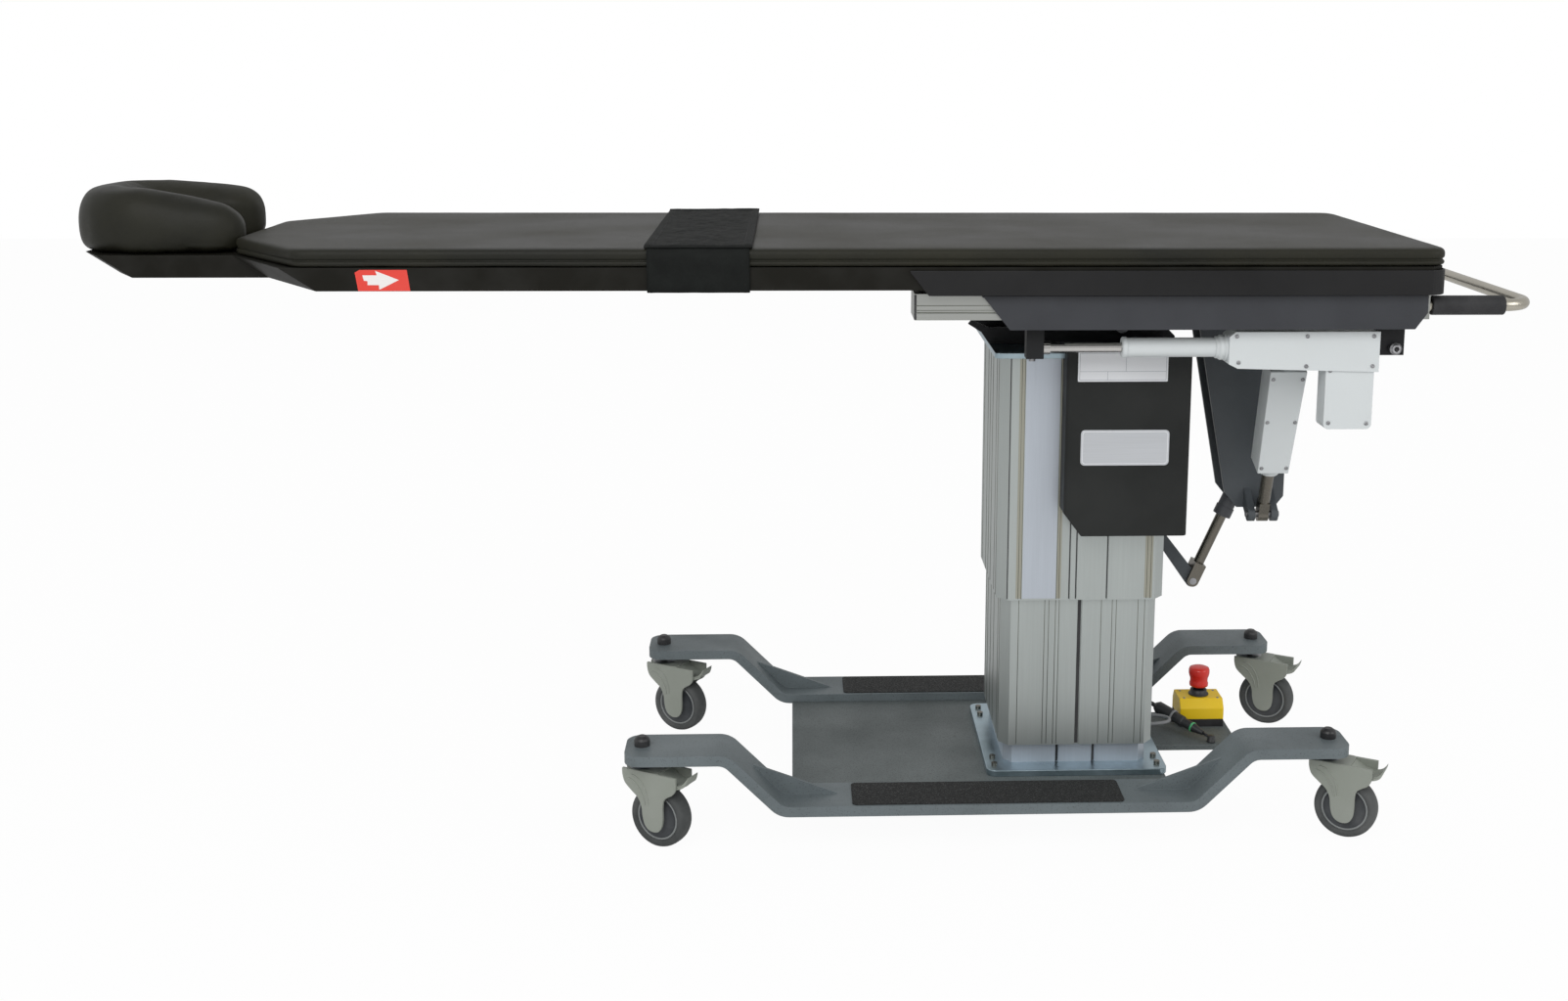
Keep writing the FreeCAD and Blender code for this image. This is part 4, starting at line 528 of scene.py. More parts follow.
def set_out_on(name, spots, shape, finish, body, slot, size=1.0):
    """spots is a list of (point in mm, facing, lying). shape is an object that is kept out of the scene."""
    cloud = bpy.data.meshes.new(name)
    cloud.from_pydata([Vector(spot[0]) * MM for spot in spots], [], [])
    for attribute, index in (("facing", 1), ("lying", 2)):
        values = cloud.attributes.new(attribute, "FLOAT_VECTOR", "POINT")
        for value, spot in zip(values.data, spots):
            value.vector = spot[index]
    draft = placed(name, cloud)
    modifier = draft.modifiers.new("set_out", "NODES")
    modifier.node_group = set_out
    modifier[sockets["Shape"]] = shape
    modifier[sockets["Size"]] = size
    modifier[sockets["Finish"]] = finishes[finish]
    done = worked_out(draft)
    bpy.data.objects.remove(draft)
    bpy.data.meshes.remove(cloud)
    done.materials.clear()
    print(name, len(spots), "copies")
    return piece_of(name, done, finish, body, slot)


# %% [markdown]
# ## Two small shapes
# A pan-head screw with a cross cut into it, and a stitch of thread. Both are low in faces, because many
# copies are made. The shapes are modelled at their real size, lying at the origin.

# %% Screw and stitch
def screw_shape(radius=3.2, high=1.8, steps=16):
    """A pan head whose inner ring is pulled down in four places, which makes the cross."""
    profile = [(radius, -0.6), (radius, high * 0.4), (radius * 0.8, high * 0.85), (radius * 0.45, high),
               (radius * 0.16, high * 0.96), (0, high * 0.3)]
    mesh = turned(profile, steps, (0, 0, 0), UP)
    cross_ring = 3 * steps
    for step in range(0, steps, steps // 4):
        mesh.vertices[cross_ring + step].co.z -= high * 0.6 * MM
    return bpy.data.objects.new("screw_shape", mesh)


def stitch_shape(long=3.4, thick=0.55, steps=6):
    profile = [(0, -long / 2), (thick * 0.8, -long * 0.36), (thick, 0), (thick * 0.8, long * 0.36),
               (0, long / 2)]
    return bpy.data.objects.new("stitch_shape", turned(profile, steps, (0, 0, 0), (1, 0, 0)))


screw, stitch = screw_shape(), stitch_shape()
print("screw faces", len(screw.data.polygons), "stitch faces", len(stitch.data.polygons))

# %% [markdown]
# ## Smooth outlines
# Cushions and castings have outlines that pass smoothly through a few chosen points. A Catmull-Rom curve
# does that: each stretch leans on the points before and after it.

# %% Catmull-Rom curve
def smooth_line(points, steps=6, closed=False):
    """A line through the points, with that many steps in each stretch."""
    spots = [Vector(point) for point in points]
    count = len(spots)
    line = []
    for index in range(count if closed else count - 1):
        near = [index + shift for shift in (-1, 0, 1, 2)]
        first, start, end, last = [spots[n % count if closed else min(max(n, 0), count - 1)] for n in near]
        for step in range(steps):
            t = step / steps
            line.append(0.5 * (2 * start + (end - first) * t
                               + (2 * first - 5 * start + 4 * end - last) * t * t
                               + (3 * start - first - 3 * end + last) * t ** 3))
    return line if closed else line + [spots[-1]]


# %% [markdown]
# ## Face cushion
# A face rest is a horseshoe of foam in a vinyl cover, open towards the table. It is swept here: one soft
# oval with a ridge runs round a U-shaped path, high at the forehead and lower at the cheeks, and shrinks
# to a round nose at each end. Cloth simulation then blows the cover up a little, which is what makes
# upholstery look filled, and a short noise adds the puckers at the seams.

# %% Soft simulation
cloth_frames = 20


def blown_up(piece, pressure, cap_of):
    """Runs Blender's cloth with inner pressure, and limits how far each point may go."""
    start = [vertex.co.copy() for vertex in piece.data.vertices]
    cloth = piece.modifiers.new("cloth", "CLOTH").settings
    cloth.use_pressure, cloth.uniform_pressure_force = True, pressure
    cloth.effector_weights.gravity = 0
    cloth.quality = 6
    scene = bpy.context.scene
    for number in range(1, cloth_frames + 1):
        scene.frame_set(number)
    shaped = piece.evaluated_get(bpy.context.evaluated_depsgraph_get()).data
    ends = [vertex.co.copy() for vertex in shaped.vertices]
    piece.modifiers.clear()
    scene.frame_set(1)
    most = 0
    for vertex, begin, end in zip(piece.data.vertices, start, ends):
        move, cap = end - begin, cap_of(begin / MM) * MM
        most = max(most, move.length)
        if move.length > cap:
            move = move.normalized() * cap
        vertex.co = begin + move
    print(piece.name, "simulated, longest move in mm", round(most / MM, 1))


def pucker(piece, depth_mm, lump_mm, low, high):
    """Moves each point along its normal by noise, most near the lower seam."""
    for vertex, normal in zip(piece.data.vertices, [v.normal.copy() for v in piece.data.vertices]):
        spot = vertex.co / MM
        folds = noise.noise(Vector((spot.x, spot.y, spot.z * 0.35)) / lump_mm)
        near_seam = 1 - min(1, max(0, (spot.z - low) / (high - low)))
        vertex.co += normal * folds * depth_mm * (0.25 + 0.75 * near_seam) * MM


# %% Sweep the horseshoe
cushion_low, cushion_high, cushion_floor, cushion_rest, cushion_half = 929.6, 1029.0, 929.35, 940.0, 143.0
bend_x, bend_reach, arm_y, nose_x = -1048.0, 72.0, 90.0, -896.0
cushion_turn, cushion_middle = math.radians(6.0), Vector((-1020.0, 0, 0))
arm_long = nose_x - bend_x
bend_long = math.pi * (bend_reach + arm_y) / 2
cushion_oval = smooth_line([(45, 0.05), (49.5, 0.25), (50.5, 0.55), (48, 0.76), (36, 0.88), (14, 0.97),
                            (-8, 1.0), (-28, 0.93), (-41, 0.72), (-46, 0.42), (-42, 0.12), (-22, 0),
                            (22, 0)], 4, closed=True)


def horseshoe_point(share):
    """A place on the path, 0 at the near nose and 1 at the far one, and how far along the arm it lies."""
    walk = share * (2 * arm_long + bend_long)
    if walk < arm_long:
        return Vector((nose_x - walk, -arm_y, 0)), walk
    if walk > arm_long + bend_long:
        rest = walk - arm_long - bend_long
        return Vector((bend_x + rest, arm_y, 0)), arm_long - rest
    angle = math.pi * (walk - arm_long) / bend_long
    return Vector((bend_x - bend_reach * math.sin(angle), -arm_y * math.cos(angle), 0)), arm_long


def face_cushion_mesh(sections=110, nose_long=45.0, near_nose_high=0.66, far_nose_high=0.86):
    around = len(cushion_oval)
    points = []
    for section in range(sections + 1):
        share = section / sections
        centre, inward = horseshoe_point(share)
        before, after = horseshoe_point(max(0, share - 0.004))[0], horseshoe_point(min(1, share + 0.004))[0]
        ahead = (after - before).normalized()
        outward = Vector((ahead.y, -ahead.x, 0))
        nose = min(1, (inward + 1) / (nose_long + 1))
        slim = math.sqrt(max(0, 1 - (1 - nose) ** 2.2))
        nose_high = near_nose_high if share < 0.5 else far_nose_high
        along_arm = min(1, inward / arm_long) ** 0.8
        height = (cushion_high - cushion_low) * (nose_high + (1 - nose_high) * along_arm)
        wide = 0.94 + 0.06 * inward / arm_long
        for out, up in cushion_oval:
            rise = 0.42 + (up - 0.42) * slim ** 0.6
            points.append(centre + outward * (out * wide * slim) + UP * (cushion_low + rise * height))
    rows = [range(section * around, (section + 1) * around) for section in range(sections + 1)]
    faces = skin(rows)
    for row, turned_over in ((rows[0], False), (rows[-1], True)):
        middle = Vector((0, 0, 0))
        for corner in row:
            middle += points[corner] / around
        points.append(middle)
        for step in range(around):
            corners = (row[step], row[(step + 1) % around], len(points) - 1)
            faces.append(corners[::-1] if turned_over else corners)
    about = Matrix.Rotation(cushion_turn, 3, "Z")
    return mesh_from([about @ (point - cushion_middle) + cushion_middle for point in points], faces)


def cushion_cap(spot):
    """How far a point may go, in millimetres: the underside rests on the platform."""
    return 3.6 if spot.z > cushion_rest else 1.2


face_cushion = piece_of("face_cushion_cover", face_cushion_mesh(), "vinyl", "table_top", "vinyl",
                        ["face_cushion"])
blown_up(face_cushion, 4.0, cushion_cap)
pucker(face_cushion, 2.6, 26.0, cushion_low, cushion_high)
for vertex in face_cushion.data.vertices:
    vertex.co.z = max(vertex.co.z, cushion_floor * MM)
    vertex.co.y = min(max(vertex.co.y, -cushion_half * MM), cushion_half * MM)
with_modifier(face_cushion, "SUBSURF", levels=1, render_levels=1)
print("face cushion faces", len(face_cushion.data.polygons))

# %% [markdown]
# ## Mattress
# The mattress is a firm pad 28 mm thick. Its outline is straight, with slanted corners at the head end.
# A grid follows that outline, and rows of quads run down the side: a rounded top edge, the sewn crease
# between the top panel and the side band, then the band. The same simulation lifts the top, by about
# three millimetres at most, while the crease, which is sewn, hardly moves.

# %% Mattress grid
pad_left, pad_taper, pad_right, pad_half, pad_head_half = -888.0, -755.0, 970.0, 305.0, 130.0
pad_low, pad_high, pad_round, pad_floor, pad_flat_inset = 929.4, 957.0, 30.0, 929.2, 22.0
side_rows = [(-15.0, 956.9), (-7.0, 956.2), (-2.6, 954.2), (-0.4, 950.6), (-0.2, 944.6), (-1.2, 941.4),
             (-4.8, 939.5), (-1.6, 937.7), (-0.4, 935.8), (-0.6, 933.6), (-2.6, 931.2), (-7.0, 929.8)]
crease_low, crease_high, pad_top_panel = 938.8, 940.2, 955.0


def pad_width(x):
    if x >= pad_taper:
        return pad_half
    return pad_head_half + (pad_half - pad_head_half) * (x - pad_left) / (pad_taper - pad_left)


def mattress_mesh(columns=126, rows=40):
    def outline_point(column, row, inset):
        """A grid point pulled in from the outline, with the foot end's corners rounded."""
        x = pad_left + (pad_right - pad_left) * column / columns
        x = min(max(x, pad_left + inset), pad_right - inset)
        y = (2 * row / rows - 1) * (pad_width(x) - inset)
        corner = pad_round - inset
        over_x, over_y = x - (pad_right - pad_round), abs(y) - (pad_half - pad_round)
        if corner > 0 and over_x > 0 and over_y > 0:
            reach = math.hypot(over_x, over_y)
            if reach > corner or max(over_x, over_y) > corner - 1:
                x = pad_right - pad_round + over_x / reach * corner
                y = math.copysign(pad_half - pad_round + over_y / reach * corner, y)
        return x, y

    edge = [(column, 0) for column in range(columns)] + [(columns, row) for row in range(rows)]
    edge += [(column, rows) for column in range(columns, 0, -1)] + [(0, row) for row in range(rows, 0, -1)]
    flat = [outline_point(column, row, pad_flat_inset)
            for column in range(columns + 1) for row in range(rows + 1)]
    points = [(x, y, height) for height in (pad_high, pad_low) for x, y in flat]

    def top(column, row):
        return column * (rows + 1) + row

    def bottom(column, row):
        return len(flat) + top(column, row)

    faces = []
    for column in range(columns):
        for row in range(rows):
            corners = [(column, row), (column + 1, row), (column + 1, row + 1), (column, row + 1)]
            faces.append([top(*corner) for corner in corners])
            faces.append([bottom(*corner) for corner in reversed(corners)])
    loops = [[top(*spot) for spot in edge]]
    for offset, height in side_rows:
        loops.append(range(len(points), len(points) + len(edge)))
        points.extend((*outline_point(*spot, -offset), height) for spot in edge)
    loops.append([bottom(*spot) for spot in edge])
    return mesh_from(points, faces + skin(loops))


def mattress_cap(spot):
    """How far a point may go, in millimetres."""
    if crease_low < spot.z < crease_high:
        return 0.4
    return 3.2 if spot.z > pad_top_panel else 1.6


mattress = piece_of("mattress_cover", mattress_mesh(), "vinyl", "table_top", "vinyl", ["mattress"])
blown_up(mattress, 4.0, mattress_cap)
pucker(mattress, 0.7, 40.0, pad_low, pad_high)
for vertex in mattress.data.vertices:
    vertex.co.z = max(vertex.co.z, pad_floor * MM)
with_modifier(mattress, "SUBSURF", levels=1, render_levels=1)
print("mattress faces", len(mattress.data.polygons))

# %% [markdown]
# ## Patient strap
# Two pieces of coated cloth hold a patient. A band goes right round the mattress and the pan, pulled
# tight, and a wider panel with a sewn hem lies on top of it. Both are sheets: a grid follows the surface
# underneath, found by casting rays at the finished mattress, and Solidify gives it a thickness.

# %% Strap band
strap_left, strap_right, strap_lift, strap_thick, band_half = -236.0, -84.0, 1.0, 1.0, 296.0
above_all = 1100.0
mattress_surface = BVHTree.FromObject(mattress, bpy.context.evaluated_depsgraph_get())


def pad_top(x, y):
    """The height of the mattress under a point, in millimetres."""
    hit = mattress_surface.ray_cast(Vector((x, y, above_all)) * MM, DOWN)[0]
    return hit.z / MM if hit else pad_high


def band_outline(x, steps_top=44, steps_under=20):
    """One turn of the band at x: over the pad, round its edge and flat under the pan."""
    over = []
    for step in range(steps_top + 1):
        y = -band_half + 2 * band_half * step / steps_top
        over.append((y, pad_top(x, y) + strap_lift))
    far_side = [(302.5, 954.6), (305.6, 949.5), (306.4, 944.0), (306.6, 936.0), (306.4, 926.0),
                (306.0, 915.0), (305.8, 905.0), (305.4, 897.0), (302.4, 892.6), (band_half, 891.4)]
    under = [(band_half - 2 * band_half * step / steps_under, 891.2) for step in range(1, steps_under)]
    near_side = [(-y, z) for y, z in reversed(far_side)]
    return over + far_side + under + near_side


def strap_mesh(columns=26, hem_high=0.5):
    points, rows = [], []
    for column in range(columns + 1):
        x = strap_left + (strap_right - strap_left) * column / columns
        outline = band_outline(x)
        rows.append(range(len(points), len(points) + len(outline)))
        hem = hem_high if min(column, columns - column) == 1 else 0.0
        for y, z in outline:
            wave = 0.7 * noise.noise(Vector((x / 24, y / 46, z / 30))) + hem
            if abs(y) > 300:
                y += math.copysign(wave, y)
            elif z > pad_low:
                z += wave
            else:
                z -= wave * 0.4
            points.append((x, y, z))
    return mesh_from(points, skin(rows))


band_path = band_outline(-160.0)
strap = piece_of("patient_strap_band", strap_mesh(), "webbing", "table_top", "webbing", ["patient_strap"])
with_modifier(strap, "SOLIDIFY", thickness=strap_thick * MM, offset=1.0)

# %% Strap panel with its hem
panel_left, panel_right, panel_near, panel_far = -240.0, -80.0, -300.0, 288.0
panel_wide, panel_long = panel_right - panel_left, panel_far - panel_near


def panel_mesh(columns=64, rows=150):
    points, faces = [], []
    for row in range(rows + 1):
        for column in range(columns + 1):
            across, along = column / columns, row / rows
            skew = 3.0 * noise.noise(Vector((across * 1.5, along * 2, 7.1)))
            x = panel_left + panel_wide * across + skew * (1 - abs(2 * across - 1))
            y = panel_near + panel_long * along
            rim = min(across * panel_wide, (1 - across) * panel_wide,
                      along * panel_long, (1 - along) * panel_long)
            hem = 0.9 if 2 < rim < 11 else 0.0
            crumple = (2.1 * noise.noise(Vector((x / 17, y / 42, 3.3)))
                       + 1.0 * noise.noise(Vector((x / 8, y / 12, 9.3)))) * min(1, rim / 26)
            slack = 1.6 * max(0, noise.noise(Vector((x / 60, y / 130, 1.7))))
            far_curl = max(0, (along - 0.97) * 90) * 0.9
            near_drop = max(0.0, 1 - along * rows / 3) * 2.2
            base = pad_top(x, min(max(y, -band_half), band_half)) + strap_lift + 2.6
            points.append((x, y, base + hem + (slack + far_curl) + max(-1.3, crumple) - near_drop))
    for row in range(rows):
        for column in range(columns):
            first = row * (columns + 1) + column
            faces.append((first, first + 1, first + columns + 2, first + columns + 1))
    return mesh_from(points, faces)


panel = piece_of("patient_strap_panel", panel_mesh(), "webbing", "table_top", "webbing")
with_modifier(panel, "SOLIDIFY", thickness=strap_thick * MM, offset=1.0)

# %% [markdown]
# The hem is sewn down with a row of stitches along each edge. Their points follow the panel's own
# surface, one every five millimetres, and the setting-out tree puts a stitch on each.

# %% Hem stitches
panel_surface = BVHTree.FromObject(panel, bpy.context.evaluated_depsgraph_get())
stitch_step, hem_in = 5.0, 12.0


def stitch_row(start, long):
    """Places from start along a hem of that length, without its corners."""
    return [start + hem_in + stitch_step * n for n in range(int((long - 2 * hem_in) / stitch_step))]


hem_spots = []
for y in stitch_row(panel_near, panel_long):
    hem_spots += [(panel_left + hem_in, y, (0, 1, 0)), (panel_right - hem_in, y, (0, 1, 0))]
for x in stitch_row(panel_left, panel_wide):
    hem_spots += [(x, panel_near + hem_in, (1, 0, 0)), (x, panel_far - hem_in, (1, 0, 0))]
stitch_spots = []
for x, y, along in hem_spots:
    place, facing, _, _ = panel_surface.ray_cast(Vector((x, y, above_all)) * MM, DOWN)
    if place:
        stitch_spots.append((place / MM, facing, along))
set_out_on("hem_stitches", stitch_spots, stitch, "grip_foam", "table_top", "webbing")

# %% [markdown]
# ## Wheels
# A caster wheel is a moulded core with a band of grey rubber on it. Turning gives both in one piece, and
# the profile's bands say which finish each takes. A thin pale rib marks where the core ends.

# %% Caster wheels
caster_x, caster_middle, caster_y, trail, caster_turn, wheel_z = 551.0, 289.0, 248.0, 35.0, -30.0, 50.0
wheel_half = [(0, 18.6), (5.5, 18.6), (6.0, 19.2), (11.0, 19.2), (12.0, 18.2), (13.0, 12.0), (15.0, 10.4),
              (24.0, 9.4), (31.0, 9.6), (32.5, 11.0), (34.2, 12.2), (35.2, 13.8), (36.4, 13.2),
              (37.0, 12.2), (38.0, 14.0), (41.0, 15.8), (45.0, 15.6), (48.0, 13.2), (49.4, 9.4), (50.0, 4.0)]
tyre, core, rib = 0, 1, 2
half_bands = [core] * 10 + [rib] * 3 + [tyre] * 6
wheel_profile = wheel_half + [(radius, -high) for radius, high in reversed(wheel_half)]
wheel_bands = half_bands + [tyre] + half_bands[::-1]

caster_rotation = Matrix.Rotation(math.radians(caster_turn), 3, "Z")
axle = caster_rotation @ Vector((0, 1, 0))
ahead = caster_rotation @ Vector((1, 0, 0))
caster_places = {f"{end}_{side}": Vector((caster_middle + along * caster_x, across * caster_y, 0))
                 for end, along in (("head", -1), ("foot", 1)) for side, across in (("near", -1), ("far", 1))}
for spot, place in caster_places.items():
    hub = place + ahead * trail + UP * wheel_z
    wheel = turned(wheel_profile, 72, hub, axle, wheel_bands)
    piece_of(f"wheel_{spot}", wheel, ["tyre_grey", "wheel_core", "wheel_ring"], f"wheel_{spot}",
             "tyre_grey", [f"caster_wheel_{spot}"])

# %% [markdown]
# ## Caster forks
# The fork is a die casting. Each leg starts wide under the swivel plate, sweeps in to a narrow stem and
# ends in a round boss at the axle. A smooth curve through a few points gives that outline, the outline is
# given its thickness, and two raised beads follow the leading edge as they do on the casting.

# %% Slabs, joins and pipes
def slab(outline, low, high, frame_of):
    """A plate: an outline in the plane of its first two axes, from low to high along the third."""
    count = len(outline)
    points = [frame_of(point[0], point[1], depth) for depth in (low, high) for point in outline]
    faces = [tuple(range(count))[::-1], tuple(range(count, 2 * count))]
    faces += [(i, (i + 1) % count, (i + 1) % count + count, i + count) for i in range(count)]
    return points, faces


def rectangle(x0, z0, x1, z1):
    """An outline from its two far corners."""
    return [(x0, z0), (x1, z0), (x1, z1), (x0, z1)]


def facing_you(x, z, y):
    """The frame of an outline that is drawn as seen from the near side."""
    return Vector((x, y, z))


def joined(parts):
    """One mesh from several (points, faces) pairs, with its faces turned outwards."""
    points, faces = [], []
    for some_points, some_faces in parts:
        faces += [[corner + len(points) for corner in face] for face in some_faces]
        points += list(some_points)
    mesh = mesh_from(points, faces)
    work = bmesh.new()
    work.from_mesh(mesh)
    bmesh.ops.recalc_face_normals(work, faces=work.faces)
    work.to_mesh(mesh)
    work.free()
    return mesh


def pipe(line, radius, sides=8):
    """A round bar along a line of points, closed at both ends."""
    points, faces = [], []
    across = (line[1] - line[0]).orthogonal().normalized()
    for index, spot in enumerate(line):
        way = (line[min(index + 1, len(line) - 1)] - line[max(index - 1, 0)]).normalized()
        across = (across - way * across.dot(way)).normalized()
        other = way.cross(across)
        for side in range(sides):
            angle = math.tau * side / sides
            points.append(spot + (across * math.cos(angle) + other * math.sin(angle)) * radius)
    for index in range(len(line) - 1):
        for side in range(sides):
            low, after = index * sides, (side + 1) % sides
            faces.append((low + side, low + after, low + sides + after, low + sides + side))
    faces += [tuple(range(sides))[::-1], tuple(range(len(points) - sides, len(points)))]
    return points, faces


def beveled(piece, width_mm, angle=35):
    return with_modifier(piece, "BEVEL", width=width_mm * MM, segments=2, limit_method="ANGLE",
                         angle_limit=math.radians(angle), harden_normals=False)


# %% Forks and pedals
leg_outline = smooth_line([(-58, 77), (-57.5, 66), (-53, 53), (-41, 42), (-29, 32), (-22.5, 19), (-20.5, 3),
                           (-17, -10), (-10, -18), (0, -20.8), (9.5, -18), (15.5, -9), (17.5, 5), (17.5, 23),
                           (20, 36), (28, 43), (36, 48), (42, 58), (42.8, 77)])
bead_lines = [smooth_line([(-40, 69), (-28, 65), (-18, 54), (-12, 40), (-9.5, 24)]),
              smooth_line([(-46, 62), (-34, 57), (-25, 47), (-18.5, 35), (-15, 22)])]
crown_round = 25
crown_outline = [(-crown_round * math.cos(math.radians(a)), crown_round * math.sin(math.radians(a)))
                 for a in range(-75, 76, 15)] + [(38, 24), (43, 22), (43, -22), (38, -24)]
crown_low, crown_high, leg_inner, leg_outer, bead_thick = 113.0, 127.6, 19.6, 24.2, 1.4
pedal_top = smooth_line([(41, 126), (52, 119.5), (64, 114), (76, 113), (87, 117.5), (95, 128.5)], 4)
pedal_under = smooth_line([(93.8, 122.5), (88.5, 112), (77, 107), (65, 107.5), (53, 111), (41, 116)], 4)
pedal_half, lip_start, lip_long = 19.4, 78, 26
race_profile = [(0, 1.6), (20, 1.6), (21.5, 0.8), (22, -1), (0, -2)]


def lip_round(x):
    """How wide the pedal is at x, as a share: its lip has round corners."""
    return math.sqrt(1 - (max(0, x - lip_start) / lip_long) ** 2)


for spot, place in caster_places.items():
    def on_fork(x, z, y, place=place):
        """Fork axes: x from the axle along the trail, z from the axle, y across."""
        return place + ahead * (trail + x) + axle * y + UP * (wheel_z + z)

    def on_crown(x, y, z, place=place):
        return place + ahead * x + axle * y + UP * z

    def on_pedal(x, z, y, place=place):
        return place + ahead * x + axle * (y * lip_round(x)) + UP * z

    parts = [slab(crown_outline, crown_low, crown_high, on_crown)]
    for side in SIDES:
        parts.append(slab(leg_outline, side * leg_inner, side * leg_outer, on_fork))
        for bead_line in bead_lines:
            parts.append(pipe([on_fork(x, z, side * leg_outer) for x, z in bead_line], bead_thick))
    fork = piece_of(f"fork_{spot}", joined(parts), "caster_grey", f"caster_{spot}", "caster_grey",
                    [f"caster_fork_{spot}"], smooth=False)
    beveled(fork, 1.1)
    race = turned(race_profile, 40, place + UP * (crown_high - 1.0), UP)
    piece_of(f"swivel_race_{spot}", race, "bolt_steel", f"caster_{spot}", "caster_grey")
    lever = joined([slab(pedal_top + pedal_under, -pedal_half, pedal_half, on_pedal)])
    pedal = piece_of(f"brake_pedal_{spot}", lever, "caster_grey", f"pedal_{spot}", "caster_grey",
                     [f"caster_pedal_{spot}"], smooth=False)
    beveled(pedal, 1.2, 40)

# %% [markdown]
# ## Lines and slots of the column
# The column's extrusions have slots for nuts. The engineering model keeps them shallow, because only
# their mouths matter there. What makes a real slot dark is its depth, so a narrow black strip lies in each
# slot as painted shade. Fine seams run the whole height of each stage, and the outer one has bands that
# are paler and warmer than the rest of its face.

# %% Painted shade in the slots
column_x = 451.0
slot_shade_strips = {
    "upper_stage": (140.0, 362.0, 763.0, [(-122.0, 1.6), (-20.0, 1.8), (-9.0, 1.8), (42.0, 1.8)], 1.5),
    "lower_stage": (130.0, 107.0, 553.0, [(0.0, 5.4)], 3.0),
    "base": (120.0, 71.0, 498.0, [(-30.5, 3.8), (30.5, 3.8)], 3.0),
}
shade_strip_thick, slot_floor_gap = 0.8, 0.5
# The dark strip on each slot's floor is painted shade that stands for the depth of a real slot.
for body, (half_y, low, high, slots_here, deep) in slot_shade_strips.items():
    parts = []
    for offset, wide in slots_here:
        middle = column_x + offset
        for side in SIDES:
            face = side * (half_y - deep + slot_floor_gap)
            parts.append(slab(rectangle(middle - wide / 2, low, middle + wide / 2, high), face,
                              face - side * shade_strip_thick, facing_you))
    piece_of(f"slot_liner_{body}", joined(parts), "stop_black", body, "column_aluminium", smooth=False)

# %% Seams of the extrusions
seam_rows = {
    "upper_stage": (138.0, 140.0, 362.0, 763.0, (-104, -99, -41, -37, 108, 114), (-112, -84, -30, 6, 40, 96)),
    "lower_stage": (129.0, 130.0, 107.0, 553.0, (-101, -58, -51, -40, -34, 36, 54, 61, 97, 108),
                    (-104, -80, -20, 26, 70, 100)),
}
seam_sunk, front_thick, end_thick = 0.25, 0.65, 0.8
for body, (half_x, half_y, low, high, front_seams, end_seams) in seam_rows.items():
    lines = [(column_x + offset, side * (half_y - seam_sunk), front_thick)
             for offset in front_seams for side in SIDES]
    lines += [(column_x + side * (half_x - seam_sunk), offset, end_thick)
              for offset in end_seams for side in SIDES]
    parts = [pipe([Vector((x, y, z)) for z in (low, high)], thick, 6) for x, y, thick in lines]
    piece_of(f"seams_{body}", joined(parts), "seam_grey", body, "column_aluminium")

# %% Paler and warmer bands on the outer extrusion
# Strips of the outer stage's front and back faces take a paler metal and a warmer metal than the rest of the
# face.
drawn_metal("warm_band", (170, 169, 156), "z", 0.36, metal=0.85)
bands = {"pale": ("stage_pale", [(-97.5, -42.5)]),
         "warm": ("warm_band", [(-108, -98.5), (-41, -34), (104, 117)])}
band_low, band_high, band_inner, band_outer = 363.0, 762.0, 139.8, 140.2
for shade, (finish, strips) in bands.items():
    parts = [slab(rectangle(column_x + left, band_low, column_x + right, band_high), side * band_inner,
                  side * band_outer, facing_you) for left, right in strips for side in SIDES]
    piece_of(f"column_bands_{shade}", joined(parts), finish, "upper_stage", "column_aluminium", smooth=False)

# %% Grooves and end edges of the side rails
rail_low, rail_high = (Vector(corner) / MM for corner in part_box("side_rails"))
groove_end, rail_tall = 560.0, rail_high.z - rail_low.z
grooves, end_edges = [], []
for side, face in ((-1, rail_low.y), (1, rail_high.y)):
    for share, thick in ((0.30, 0.9), (0.38, 0.7), (0.56, 0.9)):
        line = [Vector((x, face - side * (thick - 0.3), rail_low.z + share * rail_tall))
                for x in (rail_low.x + 1, groove_end)]
        grooves.append(pipe(line, thick, 6))
    end = rectangle(rail_low.x - 0.6, rail_low.z + 1, rail_low.x + 3.0, rail_high.z - 1)
    end_edges.append(slab(end, face + side * 0.1, face - side * 2.0, facing_you))
piece_of("rail_grooves", joined(grooves), "seam_grey", "table_top", "rail_aluminium")
piece_of("rail_end_edges", joined(end_edges), "stop_black", "table_top", "rail_aluminium", smooth=False)

# %% [markdown]
# ## Stop button
# The mushroom is pushed in a panic, so it is large, red and round-edged, with a waist to pull it out by.
# It is turned, and so are the black rings of the collar that it stands in.

# %% Turn the stop button
stop_x, stop_y = 707.0, 90.0
stem_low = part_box("estop_button")[0][2] / MM
stop_profile = [(0, stem_low), (8.6, stem_low), (8.6, 124.6), (14.6, 124.8), (16.4, 126.0), (16.6, 131.0),
                (15.4, 134.0), (15.6, 140.0), (17.4, 145.0), (18.4, 149.5), (18.4, 155.0), (17.2, 158.6),
                (13.5, 160.2), (6.0, 160.9), (0, 161.0)]
stop_bands = [1] * 3 + [0] * 11
piece_of("stop_mushroom", turned(stop_profile, 56, (stop_x, stop_y, 0), UP, stop_bands),
         ["stop_red", "stop_black"], "stop_button", "stop_red", ["estop_button"])
collar_profile = [(13.0, 108.9), (17.6, 109.0), (18.0, 110.2), (17.6, 111.4), (14.7, 111.6), (14.6, 118.6),
                  (13.6, 119.4), (9.6, 119.4)]
piece_of("stop_collar_rings", turned(collar_profile, 48, (stop_x, stop_y, 0), UP), "stop_black", "base",
         "stop_black")

# %% [markdown]
# ## Plates and the arrow
# The control box carries two plates, which stay bare here: a white one with ruled fields and a brushed
# one with a raised rim. A red label on the pan has a plain white arrow, which says which way the head end
# points. All of them are thin slabs with real edges.

